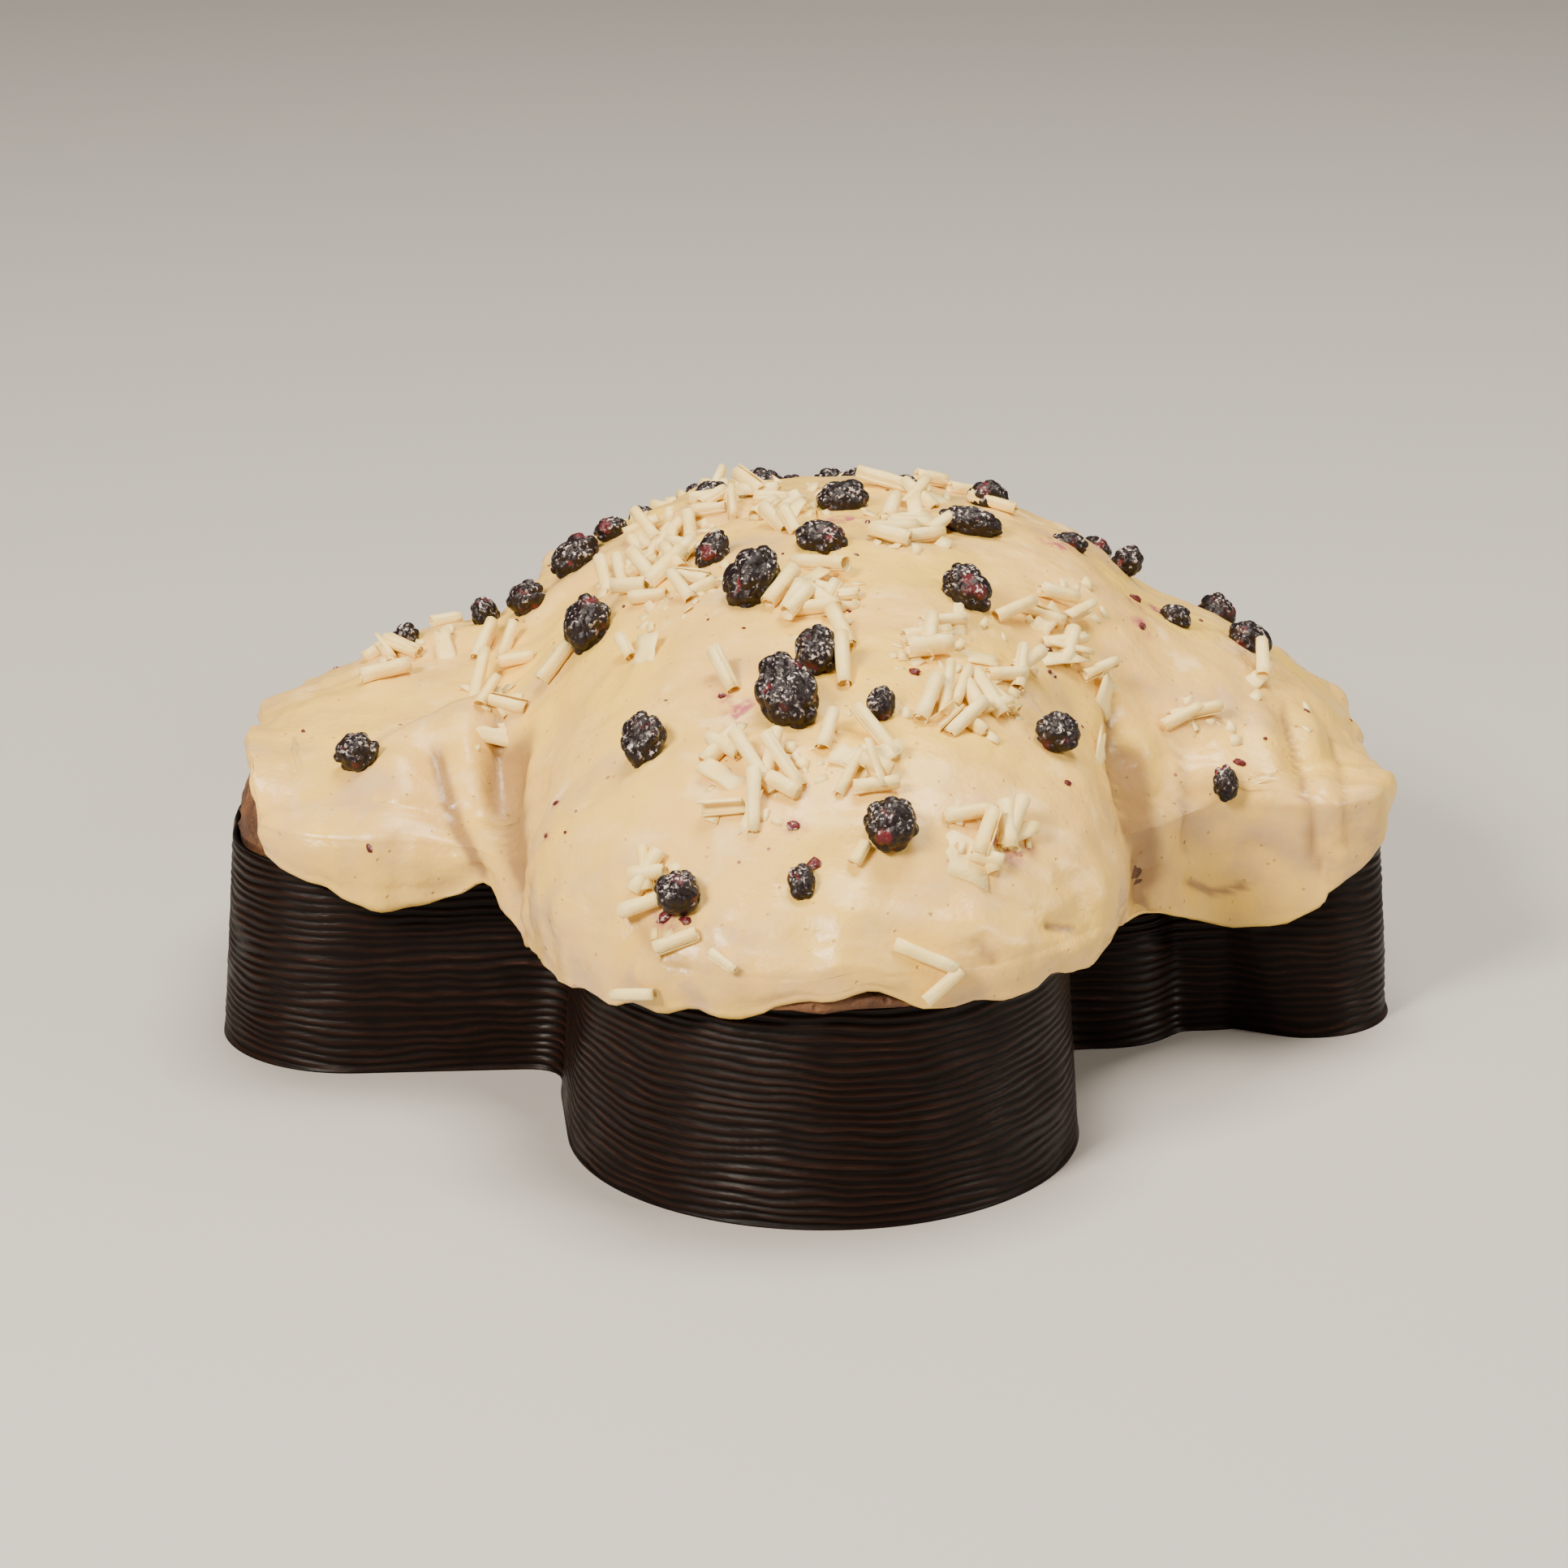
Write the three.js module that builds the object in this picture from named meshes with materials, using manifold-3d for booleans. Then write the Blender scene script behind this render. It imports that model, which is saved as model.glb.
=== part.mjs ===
// A dove-shaped festive cake in its corrugated paper case. The cake rises out of the case as a
// lobed dome under a thick pale icing, which hangs over the rim. Berries and small rolled curls of
// white chocolate are scattered over it. Millimetres, +Z up; the head lobe points along -Y and the
// wings along X. The origin is on the surface that the case stands on, midway between the wings.

import * as THREE from 'three';
import { mergeVertices } from 'three/addons/utils/BufferGeometryUtils.js';
import Module from 'manifold-3d';

const wasm = await Module();
wasm.setup();

// ---------------------------------------------------------------------------------------------
// Driving dimensions, mm
// ---------------------------------------------------------------------------------------------

const GAP = 0.4; // clearance between pieces that touch
const SIDE_GAP = 0.7; // the same at the walls, towards the dome's axis
const PAPER = 1.2; // wall and floor of the paper case, flutes included
const RIM_HEIGHT = 37; // top edge of the case
const CASE_LEAN = 2.6; // the rim stands in from the foot by this much
const CASE_NECK = 7; // how softly the case's lobes run together
const DOME_NECK = 24; // the same for the risen dome, which fills the necks

// The outline of the case has four arms, run together. An arm is made of rounded boxes; flare
// widens a box towards +Y.
const OUTLINE_ARMS = {
  head: [{ x: -2.5, y: -70, halfWide: 43.4, halfLong: 50, corner: 41, flare: 0.04 }],
  leftWing: [
    { x: -53, y: -19, halfWide: 52.5, halfLong: 29, corner: 24, flare: 0 },
    { x: -49, y: 8, halfWide: 54, halfLong: 40, corner: 38, flare: 0 },
  ],
  rightWing: [
    { x: 50, y: 6, halfWide: 54, halfLong: 43.5, corner: 36, flare: 0 },
    { x: 87.5, y: -18, halfWide: 15.5, halfLong: 24.3, corner: 15.5, flare: 0 },
    { x: 42, y: -10, halfWide: 24, halfLong: 35, corner: 16, flare: 0 },
  ],
  tail: [{ x: 6, y: 84, halfWide: 47, halfLong: 56, corner: 34, flare: 0.04 }],
};

// The dome is made of swelling lobes, run together. Each has its middle, its half sizes in plan
// and its rise over the widest ring of the icing.
const DOME_AXIS = { x: 2, y: 6 };
const DOME_LOBES = [
  { name: 'body', x: 6, y: 5, wide: 64, long: 78, rise: 42 },
  { name: 'head', x: 0, y: -62, wide: 57, long: 63, rise: 36 },
  { name: 'left wing', x: -50, y: -2, wide: 53, long: 50, rise: 20 },
  { name: 'right wing', x: 48, y: 2, wide: 53, long: 50, rise: 25 },
  { name: 'tail', x: 6, y: 80, wide: 54, long: 64, rise: 22 },
];
const LOBE_FULLNESS = 2.3; // 2 for an ellipsoid, more for a squarer swell
const LOBE_MERGE = 5; // the more, the sharper the creases between lobes
const SHOULDER_POWER = 6; // how late the dome's edge turns down to the widest ring

const ICING_THICKNESS = 4; // over the crown
const ICING_SIDE = 2.6; // at the widest ring
const ICING_EQUATOR = 7; // the widest ring stands this far above the rim
const SKIRT_TUCK = 1.3; // how far the hanging skirt draws in again
const WIDEST_LEVEL = RIM_HEIGHT + ICING_EQUATOR;
const SHOULDER_DROP = 1.6; // the risen crumb narrows to the case over this height
const LEAST_RISE = 6; // between the lobes, so that the icing stays whole

// Where the icing's skirt ends, by direction round the dome: degrees from +X, how far the widest
// ring stands out from the case, and the height of the lower edge.
const SKIRT_STATIONS = [
  { at: -160, out: -3.8, edge: 42.2 },
  { at: -153, out: 0.8, edge: 40.5 },
  { at: -148, out: 2.5, edge: 34.2 },
  { at: -140, out: 5, edge: 33.5 },
  { at: -133, out: 6, edge: 37 },
  { at: -126, out: 6, edge: 32.5 },
  { at: -118, out: 5, edge: 33.7 },
  { at: -108, out: 4, edge: 35 },
  { at: -98, out: 3, edge: 38 },
  { at: -90, out: 3, edge: 40.3 },
  { at: -84, out: 3.6, edge: 37 },
  { at: -78, out: 4.5, edge: 37 },
  { at: -72, out: 6, edge: 38 },
  { at: -67, out: 6.5, edge: 39 },
  { at: -56, out: 6.5, edge: 29 },
  { at: -47, out: 6.5, edge: 27 },
  { at: -42, out: 6.3, edge: 24 },
  { at: -34, out: 5, edge: 21.5 },
  { at: -30, out: 2.4, edge: 27.5 },
  { at: -26, out: 0.8, edge: 34.5 },
  { at: -23, out: 0.4, edge: 40.5 },
  { at: -17, out: -3.5, edge: 40.8 },
  { at: 8, out: -4.5, edge: 40.8 },
  { at: 22, out: -3.5, edge: 40.8 },
  { at: 29, out: 0.8, edge: 40.5 },
  { at: 40, out: 3, edge: 35 },
  { at: 60, out: 5, edge: 34 },
  { at: 90, out: 4.5, edge: 36 },
  { at: 120, out: 5, edge: 34 },
  { at: 145, out: 4, edge: 35 },
  { at: 158, out: 0.8, edge: 40.5 },
  { at: 168, out: -3.8, edge: 41.5 },
];
const SCALLOPS = [
  { waves: 17, depth: 0.8, phase: 0.4 },
  { waves: 31, depth: 0.5, phase: 1.9 },
];

const COLUMNS = 72; // steps round the outline
const DOME_RINGS = 12;
const CAKE_RINGS = 7;
const SEED = 20;

// How the photograph sees the cake: the pixel where the origin shows, and the lens in pixels.
const VIEW = {
  elevation: 18.5,
  turn: 3.75,
  distance: 864,
  focal: 5782,
  middle: 966,
  origin: [993, 1189],
};

// Berries that the photograph shows, by the pixel of their middle. Sizes are real ones, and turn
// is the way the long side lies: 0 level, 90 up the slope.
const SEEN_BERRIES = [
  { at: [440, 927], long: 8.4, wide: 8.0, turn: 0 },
  { at: [498, 786], long: 6.6, wide: 5.6, turn: 70 },
  { at: [597, 752], long: 7.4, wide: 6.0, turn: 80 },
  { at: [649, 738], long: 8.0, wide: 7.4, turn: 20 },
  { at: [708, 686], long: 11.0, wide: 8.0, turn: 35 },
  { at: [753, 652], long: 7.0, wide: 5.4, turn: 15 },
  { at: [723, 770], long: 11.6, wide: 9.6, turn: 100 },
  { at: [877, 679], long: 8.6, wide: 6.2, turn: 80 },
  { at: [927, 713], long: 13.0, wide: 10.4, turn: 75 },
  { at: [877, 610], long: 8.0, wide: 6.4, turn: 0 },
  { at: [1038, 612], long: 10.6, wide: 9.0, turn: 15 },
  { at: [1011, 658], long: 10.0, wide: 8.4, turn: -30 },
  { at: [1116, 598], long: 5.2, wide: 4.6, turn: 10 },
  { at: [1197, 643], long: 12.6, wide: 6.4, turn: -22 },
  { at: [1215, 608], long: 8.6, wide: 6.6, turn: 0 },
  { at: [1191, 727], long: 11.0, wide: 8.8, turn: 110 },
  { at: [1318, 670], long: 7.6, wide: 5.0, turn: 0 },
  { at: [1388, 678], long: 6.6, wide: 6.0, turn: 0 },
  { at: [1449, 760], long: 6.4, wide: 5.4, turn: -15 },
  { at: [1540, 788], long: 9.4, wide: 7.8, turn: -25 },
  { at: [970, 855], long: 14.4, wide: 11.2, turn: 105 },
  { at: [1006, 803], long: 9.4, wide: 8.4, turn: 90 },
  { at: [1085, 868], long: 6.8, wide: 5.4, turn: 80 },
  { at: [793, 912], long: 10.4, wide: 8.2, turn: 100 },
  { at: [1303, 902], long: 8.4, wide: 8.0, turn: 0 },
  { at: [1098, 1015], long: 9.6, wide: 9.2, turn: 60 },
  { at: [835, 1100], long: 8.4, wide: 8.2, turn: 40 },
  { at: [988, 1087], long: 6.4, wide: 4.8, turn: 95 },
  { at: [1510, 965], long: 7.0, wide: 5.0, turn: 95 },
];
const BACK_BERRIES = 12; // beyond the crest, where the photograph doesn't show the icing
const HIDDEN_TOP = 2.5; // the line of sight passes at least this far over the icing there
const BERRY_LENGTH = { least: 6.5, most: 11 };
const BERRY_STAND = 0.27; // how far a berry's middle stands above the icing, of its width
const BERRY_SPACING = 17; // between the hidden ones; nearer neighbours are cut clear of each other

// Drifts of chocolate curls, by the pixel of their middle: spread in pixels, and how many.
const CURL_DRIFTS = [
  { at: [825, 700], spread: 52, count: 11 },
  { at: [925, 622], spread: 60, count: 6 },
  { at: [1030, 725], spread: 42, count: 6 },
  { at: [1120, 640], spread: 45, count: 5 },
  { at: [605, 850], spread: 60, count: 5 },
  { at: [480, 820], spread: 50, count: 4 },
  { at: [925, 960], spread: 50, count: 7 },
  { at: [1065, 925], spread: 40, count: 4 },
  { at: [1190, 840], spread: 62, count: 9 },
  { at: [1205, 1040], spread: 50, count: 5 },
  { at: [1320, 800], spread: 55, count: 4 },
  { at: [1480, 885], spread: 40, count: 2 },
  { at: [815, 1110], spread: 40, count: 3 },
  { at: [1155, 1190], spread: 40, count: 2 },
];
const BACK_CURLS = 22;
const BACK_TRIES = 300;
const BACK_REGION = { wide: 180, from: 25, to: 138 }; // where the hidden toppings lie, in plan
const CURL = { least: 5, most: 8.5, radius: 1.2, sides: 6, sunk: 0.9 };
const SIGHT_MISS = 1.2; // a line of sight this far over the icing shows no place on it

// ---------------------------------------------------------------------------------------------
// Small helpers
// ---------------------------------------------------------------------------------------------

const radians = THREE.MathUtils.degToRad;

// Repeatable random numbers from 0 to 1.
function makeRandom(seed) {
  let state = seed;
  return () => {
    state = (state * 1664525 + 1013904223) % 4294967296;
    return state / 4294967296;
  };
}

// The smaller of two distances, rounded where they meet.
function softMin(a, b, blend) {
  const overlap = Math.max(blend - Math.abs(a - b), 0) / blend;
  return Math.min(a, b) - (overlap * overlap * blend) / 4;
}

function toManifold(geometry) {
  const bare = geometry.clone();
  bare.deleteAttribute('normal');
  bare.deleteAttribute('uv');
  const merged = mergeVertices(bare, 1e-4);
  return new wasm.Manifold(
    new wasm.Mesh({
      numProp: 3,
      vertProperties: new Float32Array(merged.attributes.position.array),
      triVerts: new Uint32Array(merged.index.array),
    }),
  );
}

function fromManifold(solid) {
  const mesh = solid.getMesh();
  const geometry = new THREE.BufferGeometry();
  geometry.setAttribute('position', new THREE.BufferAttribute(mesh.vertProperties, 3));
  geometry.setIndex(new THREE.BufferAttribute(mesh.triVerts, 1));
  return geometry;
}

// ---------------------------------------------------------------------------------------------
// The outline in plan
// ---------------------------------------------------------------------------------------------

// Signed distance from a rounded box's edge, negative inside.
function boxDistance(x, y, box) {
  const halfWide = box.halfWide + box.flare * (y - box.y);
  const overX = Math.abs(x - box.x) - halfWide + box.corner;
  const overY = Math.abs(y - box.y) - box.halfLong + box.corner;
  const outside = Math.hypot(Math.max(overX, 0), Math.max(overY, 0));
  return outside + Math.min(Math.max(overX, overY), 0) - box.corner;
}

function outlineDistance(x, y, neck) {
  return Object.values(OUTLINE_ARMS)
    .map((boxes) => Math.min(...boxes.map((box) => boxDistance(x, y, box))))
    .reduce((a, b) => softMin(a, b, neck));
}

// How far from the dome's axis the outline lies, in a direction, when set out by an offset.
function reach(angle, offset, neck = DOME_NECK) {
  let near = 0;
  let far = 220;
  for (let step = 0; step < 26; step += 1) {
    const middle = (near + far) / 2;
    const x = DOME_AXIS.x + middle * Math.cos(angle);
    const y = DOME_AXIS.y + middle * Math.sin(angle);
    if (outlineDistance(x, y, neck) < offset) near = middle;
    else far = middle;
  }
  return (near + far) / 2;
}

// Directions that divide the outline into steps of equal length.
function evenDirections(count) {
  const fine = 720;
  const lengths = [0];
  const pointAt = (index) => {
    const angle = -Math.PI + (index / fine) * 2 * Math.PI;
    const radius = reach(angle, 0, CASE_NECK);
    return new THREE.Vector2(radius * Math.cos(angle), radius * Math.sin(angle));
  };
  let before = pointAt(0);
  for (let index = 1; index <= fine; index += 1) {
    const point = pointAt(index);
    lengths.push(lengths[index - 1] + point.distanceTo(before));
    before = point;
  }
  const directions = [];
  let index = 0;
  for (let column = 0; column < count; column += 1) {
    const target = (column / count) * lengths[fine];
    while (lengths[index + 1] < target) index += 1;
    const part = (target - lengths[index]) / (lengths[index + 1] - lengths[index]);
    directions.push(-Math.PI + ((index + part) / fine) * 2 * Math.PI);
  }
  return directions;
}

// ---------------------------------------------------------------------------------------------
// The dome and its icing
// ---------------------------------------------------------------------------------------------

// How far the dome stands over its widest ring, before its edge turns down.
function domeRise(x, y) {
  const swell = (lobe) => {
    const across = Math.abs((x - lobe.x) / lobe.wide) ** LOBE_FULLNESS;
    const along = Math.abs((y - lobe.y) / lobe.long) ** LOBE_FULLNESS;
    return lobe.rise * Math.sqrt(Math.max(1 - across - along, 0));
  };
  const sum = DOME_LOBES.reduce((total, lobe) => total + swell(lobe) ** LOBE_MERGE, 0);
  return sum ** (1 / LOBE_MERGE);
}

// The skirt's stand-out and edge in a direction, run smoothly from station to station.
function skirtAt(angle) {
  const first = SKIRT_STATIONS[0].at;
  const turn = THREE.MathUtils.euclideanModulo(THREE.MathUtils.radToDeg(angle) - first, 360) + first;
  const count = SKIRT_STATIONS.length;
  let index = count - 1;
  while (SKIRT_STATIONS[index].at > turn) index -= 1;
  const from = SKIRT_STATIONS[index];
  const to = SKIRT_STATIONS[(index + 1) % count];
  const span = THREE.MathUtils.euclideanModulo(to.at - from.at, 360);
  const part = THREE.MathUtils.smoothstep((turn - from.at) / span, 0, 1);
  return {
    out: THREE.MathUtils.lerp(from.out, to.out, part),
    edge: THREE.MathUtils.lerp(from.edge, to.edge, part),
  };
}

function scallop(angle) {
  return SCALLOPS.reduce(
    (sum, wave) => sum + wave.depth * Math.sin(wave.waves * angle + wave.phase),
    0,
  );
}

function shoulder(share) {
  return Math.sqrt(Math.max(1 - share ** SHOULDER_POWER, 0));
}

function axisPoint(z) {
  return new THREE.Vector3(DOME_AXIS.x, DOME_AXIS.y, z);
}

function pointAround(angle, radius, z) {
  const point = axisPoint(z);
  point.x += radius * Math.cos(angle);
  point.y += radius * Math.sin(angle);
  return point;
}

// A point of a dome-shaped skin. share runs from 0 on the axis to 1 at the widest ring; inset is
// how far the skin lies inside the icing's outer face at the side, and sink how far at the top.
// The skin is then drawn in by clear at its sides.
function domePoint(angle, share, inset, sink, clear = 0) {
  const radius = share * reach(angle, skirtAt(angle).out - inset);
  const above = pointAround(angle, radius, 0);
  const rise = Math.max(domeRise(above.x, above.y), LEAST_RISE) - sink;
  const height = WIDEST_LEVEL + rise * shoulder(share);
  return pointAround(angle, radius - clear * share ** 4, height);
}

// Height of the icing's outer face over a place in plan, or null outside it.
function icingHeight(x, y) {
  const angle = Math.atan2(y - DOME_AXIS.y, x - DOME_AXIS.x);
  const radius = Math.hypot(y - DOME_AXIS.y, x - DOME_AXIS.x);
  const share = radius / reach(angle, skirtAt(angle).out);
  if (share > 1) return null;
  return domePoint(angle, share, 0, 0).z;
}

// The point of the faceted icing straight under a place in plan, or undefined outside it.
function icingPoint(x, y) {
  const above = new THREE.Vector3(x, y, 2 * WIDEST_LEVEL + 100);
  const hits = new THREE.Raycaster(above, new THREE.Vector3(0, 0, -1)).intersectObject(icingFace);
  return hits[0]?.point;
}

function icingNormal(x, y) {
  const step = 1.5;
  const height = (px, py) => icingHeight(px, py) ?? WIDEST_LEVEL;
  return new THREE.Vector3(
    height(x - step, y) - height(x + step, y),
    height(x, y - step) - height(x, y + step),
    2 * step,
  ).normalize();
}

// Closes a stack of rings into one solid. A ring holds one point for each direction; a tip is the
// single point that ends the stack. Where the stack climbs again, its quads are split the other way,
// so that an inner face is parallel to the outer face of what it covers.
function closeRings(tip, rings, endTip) {
  const positions = [tip, ...rings.flat(), endTip].flatMap((point) => point.toArray());
  const count = rings[0].length;
  const last = positions.length / 3 - 1;
  const triangles = [];
  const at = (ring, column) => 1 + ring * count + (column % count);
  for (let column = 0; column < count; column += 1) {
    triangles.push(0, at(0, column), at(0, column + 1));
    for (let ring = 0; ring + 1 < rings.length; ring += 1) {
      const climbs = rings[ring + 1][0].z > rings[ring][0].z;
      const [a, b] = [at(ring, column), at(ring, column + 1)];
      const [c, d] = [at(ring + 1, column), at(ring + 1, column + 1)];
      if (climbs) triangles.push(a, c, b, b, c, d);
      else triangles.push(a, c, d, a, d, b);
    }
    triangles.push(last, at(rings.length - 1, column + 1), at(rings.length - 1, column));
  }
  const geometry = new THREE.BufferGeometry();
  geometry.setAttribute('position', new THREE.Float32BufferAttribute(positions, 3));
  geometry.setIndex(triangles);
  return geometry;
}

const DIRECTIONS = evenDirections(COLUMNS);

function domeRings(count, inset, sink, clear = 0) {
  return Array.from({ length: count }, (_, ring) => {
    const share = Math.sin((((ring + 1) / count) * Math.PI) / 2);
    return DIRECTIONS.map((angle) => domePoint(angle, share, inset, sink, clear));
  });
}

// A ring round the walls, set out from the outline and then drawn in by clear.
function sideRing(offsetAt, heightAt, neck = DOME_NECK, clear = 0) {
  return DIRECTIONS.map((angle) =>
    pointAround(angle, reach(angle, offsetAt(angle), neck) - clear, heightAt(angle)),
  );
}

function icingShell() {
  const edgeAt = (angle) => skirtAt(angle).edge + scallop(angle);
  const outer = domeRings(DOME_RINGS, 0, 0);
  const inner = domeRings(CAKE_RINGS, ICING_SIDE, ICING_THICKNESS).reverse();
  const skirt = [
    sideRing(
      (angle) => skirtAt(angle).out - SKIRT_TUCK * 0.3,
      (angle) => (WIDEST_LEVEL + edgeAt(angle)) / 2,
    ),
    sideRing((angle) => skirtAt(angle).out - SKIRT_TUCK * 0.7, (angle) => edgeAt(angle) + 0.8),
    sideRing((angle) => skirtAt(angle).out - ICING_SIDE, edgeAt),
  ];
  const crown = WIDEST_LEVEL + domeRise(DOME_AXIS.x, DOME_AXIS.y);
  return closeRings(
    axisPoint(crown),
    [...outer, ...skirt, ...inner],
    axisPoint(crown - ICING_THICKNESS),
  );
}

// The solid under the icing's outer face, grown a little: what a berry is cut by.
function icingBulk(grow) {
  const crown = WIDEST_LEVEL + domeRise(DOME_AXIS.x, DOME_AXIS.y);
  const rings = domeRings(DOME_RINGS, -grow, -grow);
  const foot = sideRing((angle) => skirtAt(angle).out + grow, () => RIM_HEIGHT / 2);
  return closeRings(axisPoint(crown + grow), [...rings, foot], axisPoint(RIM_HEIGHT / 2));
}

const icingFace = new THREE.Mesh(icingBulk(0), new THREE.MeshBasicMaterial());

// ---------------------------------------------------------------------------------------------
// The cake and its case
// ---------------------------------------------------------------------------------------------

// The case's wall leans in: how far it stands in from the foot at a height.
function leanAt(height) {
  return (-CASE_LEAN * height) / RIM_HEIGHT;
}

function cakeSolid() {
  const ledge = RIM_HEIGHT + GAP;
  const shoulderFoot = ledge + SHOULDER_DROP;
  const foot = PAPER + GAP;
  const shoulderOut = (angle) => skirtAt(angle).out - ICING_SIDE;
  const wallRing = (wallHeight, height) =>
    sideRing(() => leanAt(wallHeight) - PAPER, () => height, CASE_NECK, SIDE_GAP);
  const rings = [
    ...domeRings(CAKE_RINGS, ICING_SIDE, ICING_THICKNESS + GAP, SIDE_GAP),
    sideRing(shoulderOut, () => shoulderFoot, DOME_NECK, SIDE_GAP),
    wallRing(RIM_HEIGHT, ledge),
    wallRing(foot, foot),
  ];
  const crown = WIDEST_LEVEL + domeRise(DOME_AXIS.x, DOME_AXIS.y) - ICING_THICKNESS - GAP;
  return closeRings(axisPoint(crown), rings, axisPoint(foot));
}

function paperCase() {
  const floor = axisPoint(PAPER);
  const wallRing = (inset, height) =>
    sideRing(() => leanAt(height) - inset, () => height, CASE_NECK);
  const rings = [
    wallRing(PAPER, PAPER),
    wallRing(PAPER, RIM_HEIGHT),
    wallRing(0, RIM_HEIGHT),
    wallRing(0, 0),
  ];
  return closeRings(floor, rings, axisPoint(0));
}

// ---------------------------------------------------------------------------------------------
// Toppings
// ---------------------------------------------------------------------------------------------

// The way that the photograph looks through a pixel.
function sightThrough(column, row) {
  const tilt = radians(VIEW.elevation);
  const ahead = new THREE.Vector3(0, Math.cos(tilt), -Math.sin(tilt));
  const right = new THREE.Vector3(1, 0, 0);
  const up = new THREE.Vector3().crossVectors(right, ahead);
  return ahead
    .addScaledVector(right, (column - VIEW.middle) / VIEW.focal)
    .addScaledVector(up, (VIEW.middle - row) / VIEW.focal)
    .applyAxisAngle(new THREE.Vector3(0, 0, 1), -radians(VIEW.turn));
}

const EYE = sightThrough(...VIEW.origin).multiplyScalar(-VIEW.distance);

// The place on the icing that the photograph shows at a pixel, or the nearest to its line of
// sight. What is seen there stands some way above the icing.
function placeSeenAt([column, row], above) {
  const ray = sightThrough(column, row);
  let best = { clear: Infinity };
  for (let along = VIEW.distance - 200; along < VIEW.distance + 200; along += 0.5) {
    const point = EYE.clone().addScaledVector(ray, along);
    const height = icingHeight(point.x, point.y);
    if (height === null) continue;
    const clear = point.z - height - above;
    if (clear < best.clear) best = { clear, x: point.x, y: point.y };
    if (clear < 0) break;
  }
  return best;
}

// Whether the crest hides what stands on the icing here from the photograph.
function isHidden(x, y) {
  const top = icingPoint(x, y);
  top.z += HIDDEN_TOP;
  const back = EYE.clone().sub(top).normalize();
  for (let along = 20; along < 130; along += 5) {
    const point = top.clone().addScaledVector(back, along);
    const height = icingHeight(point.x, point.y);
    if (height !== null && height > point.z) return true;
  }
  return false;
}

// Places that the photograph doesn't show, as many as there are among so many tries.
function hiddenPlaces(random, tries) {
  return Array.from({ length: tries }, () => ({
    x: (random() - 0.5) * BACK_REGION.wide,
    y: THREE.MathUtils.lerp(BACK_REGION.from, BACK_REGION.to, random()),
  })).filter(
    ({ x, y }) =>
      outlineDistance(x, y, CASE_NECK) < -9 && icingHeight(x, y) !== null && isHidden(x, y),
  );
}

// Stands a shape on the icing with its own Z along the surface's normal, then spins it.
function standOnIcing(geometry, place, spin, lift) {
  const normal = icingNormal(place.x, place.y);
  const base = icingPoint(place.x, place.y);
  const tilt = new THREE.Quaternion().setFromUnitVectors(new THREE.Vector3(0, 0, 1), normal);
  const spinTurn = new THREE.Quaternion().setFromAxisAngle(new THREE.Vector3(0, 0, 1), spin);
  const placing = new THREE.Matrix4().compose(
    base.addScaledVector(normal, lift),
    tilt.multiply(spinTurn),
    new THREE.Vector3(1, 1, 1),
  );
  return geometry.applyMatrix4(placing);
}

// A berry: an egg-shaped cluster whose drupelets stand out from the valleys between them.
function berryShape(long, wide) {
  const knob = 1.07;
  const valley = 0.94;
  const cornerCount = 12;
  const geometry = mergeVertices(stripToPositions(new THREE.IcosahedronGeometry(0.5, 1)), 1e-4);
  const corners = mergeVertices(stripToPositions(new THREE.IcosahedronGeometry(0.5, 0)), 1e-4);
  const position = geometry.attributes.position;
  const point = new THREE.Vector3();
  const corner = new THREE.Vector3();
  for (let index = 0; index < position.count; index += 1) {
    point.fromBufferAttribute(position, index);
    let isKnob = false;
    for (let other = 0; other < cornerCount; other += 1) {
      corner.fromBufferAttribute(corners.attributes.position, other);
      if (corner.distanceTo(point) < 0.01) isKnob = true;
    }
    point.multiplyScalar(isKnob ? knob : valley);
    position.setXYZ(index, point.x * long, point.y * wide, point.z * wide * 0.9);
  }
  return geometry;
}

function stripToPositions(geometry) {
  geometry.deleteAttribute('normal');
  geometry.deleteAttribute('uv');
  return geometry;
}

function curlShape(length, radius) {
  return new THREE.CylinderGeometry(radius, radius * 0.9, length, CURL.sides);
}

// ---------------------------------------------------------------------------------------------
// The finished pieces
// ---------------------------------------------------------------------------------------------

const cake = new THREE.Group();

function addPiece(name, geometry, finish) {
  const mesh = new THREE.Mesh(geometry, new THREE.MeshStandardMaterial(finish));
  mesh.name = name;
  cake.add(mesh);
}

const random = makeRandom(SEED);

const berries = SEEN_BERRIES.map((berry) => ({
  ...berry,
  ...placeSeenAt(berry.at, berry.wide * BERRY_STAND),
}));
for (const place of hiddenPlaces(random, BACK_TRIES)) {
  if (berries.length === SEEN_BERRIES.length + BACK_BERRIES) break;
  const long = THREE.MathUtils.lerp(BERRY_LENGTH.least, BERRY_LENGTH.most, random());
  const crowded = berries.some(
    (other) => Math.hypot(other.x - place.x, other.y - place.y) < BERRY_SPACING,
  );
  if (!crowded) berries.push({ ...place, long, wide: long * 0.86, turn: random() * 180 });
}

const bulk = toManifold(icingBulk(GAP));
const standBerry = (berry, grow) =>
  toManifold(
    standOnIcing(
      berryShape(berry.long + 2 * grow, berry.wide + 2 * grow),
      berry,
      radians(berry.turn),
      berry.wide * BERRY_STAND,
    ),
  );
berries.forEach((berry, index) => {
  const solid = berries
    .slice(0, index)
    .filter((other) => Math.hypot(other.x - berry.x, other.y - berry.y) < BERRY_SPACING)
    .reduce((rest, other) => rest.subtract(other.halo), standBerry(berry, 0).subtract(bulk));
  const largest = solid.decompose().sort((a, b) => b.volume() - a.volume())[0];
  berry.halo = standBerry(berry, GAP);
  const name = `berry_${String(index + 1).padStart(2, '0')}`;
  addPiece(name, fromManifold(largest), { color: 0x241a22, roughness: 0.45, metalness: 0 });
});

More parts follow.
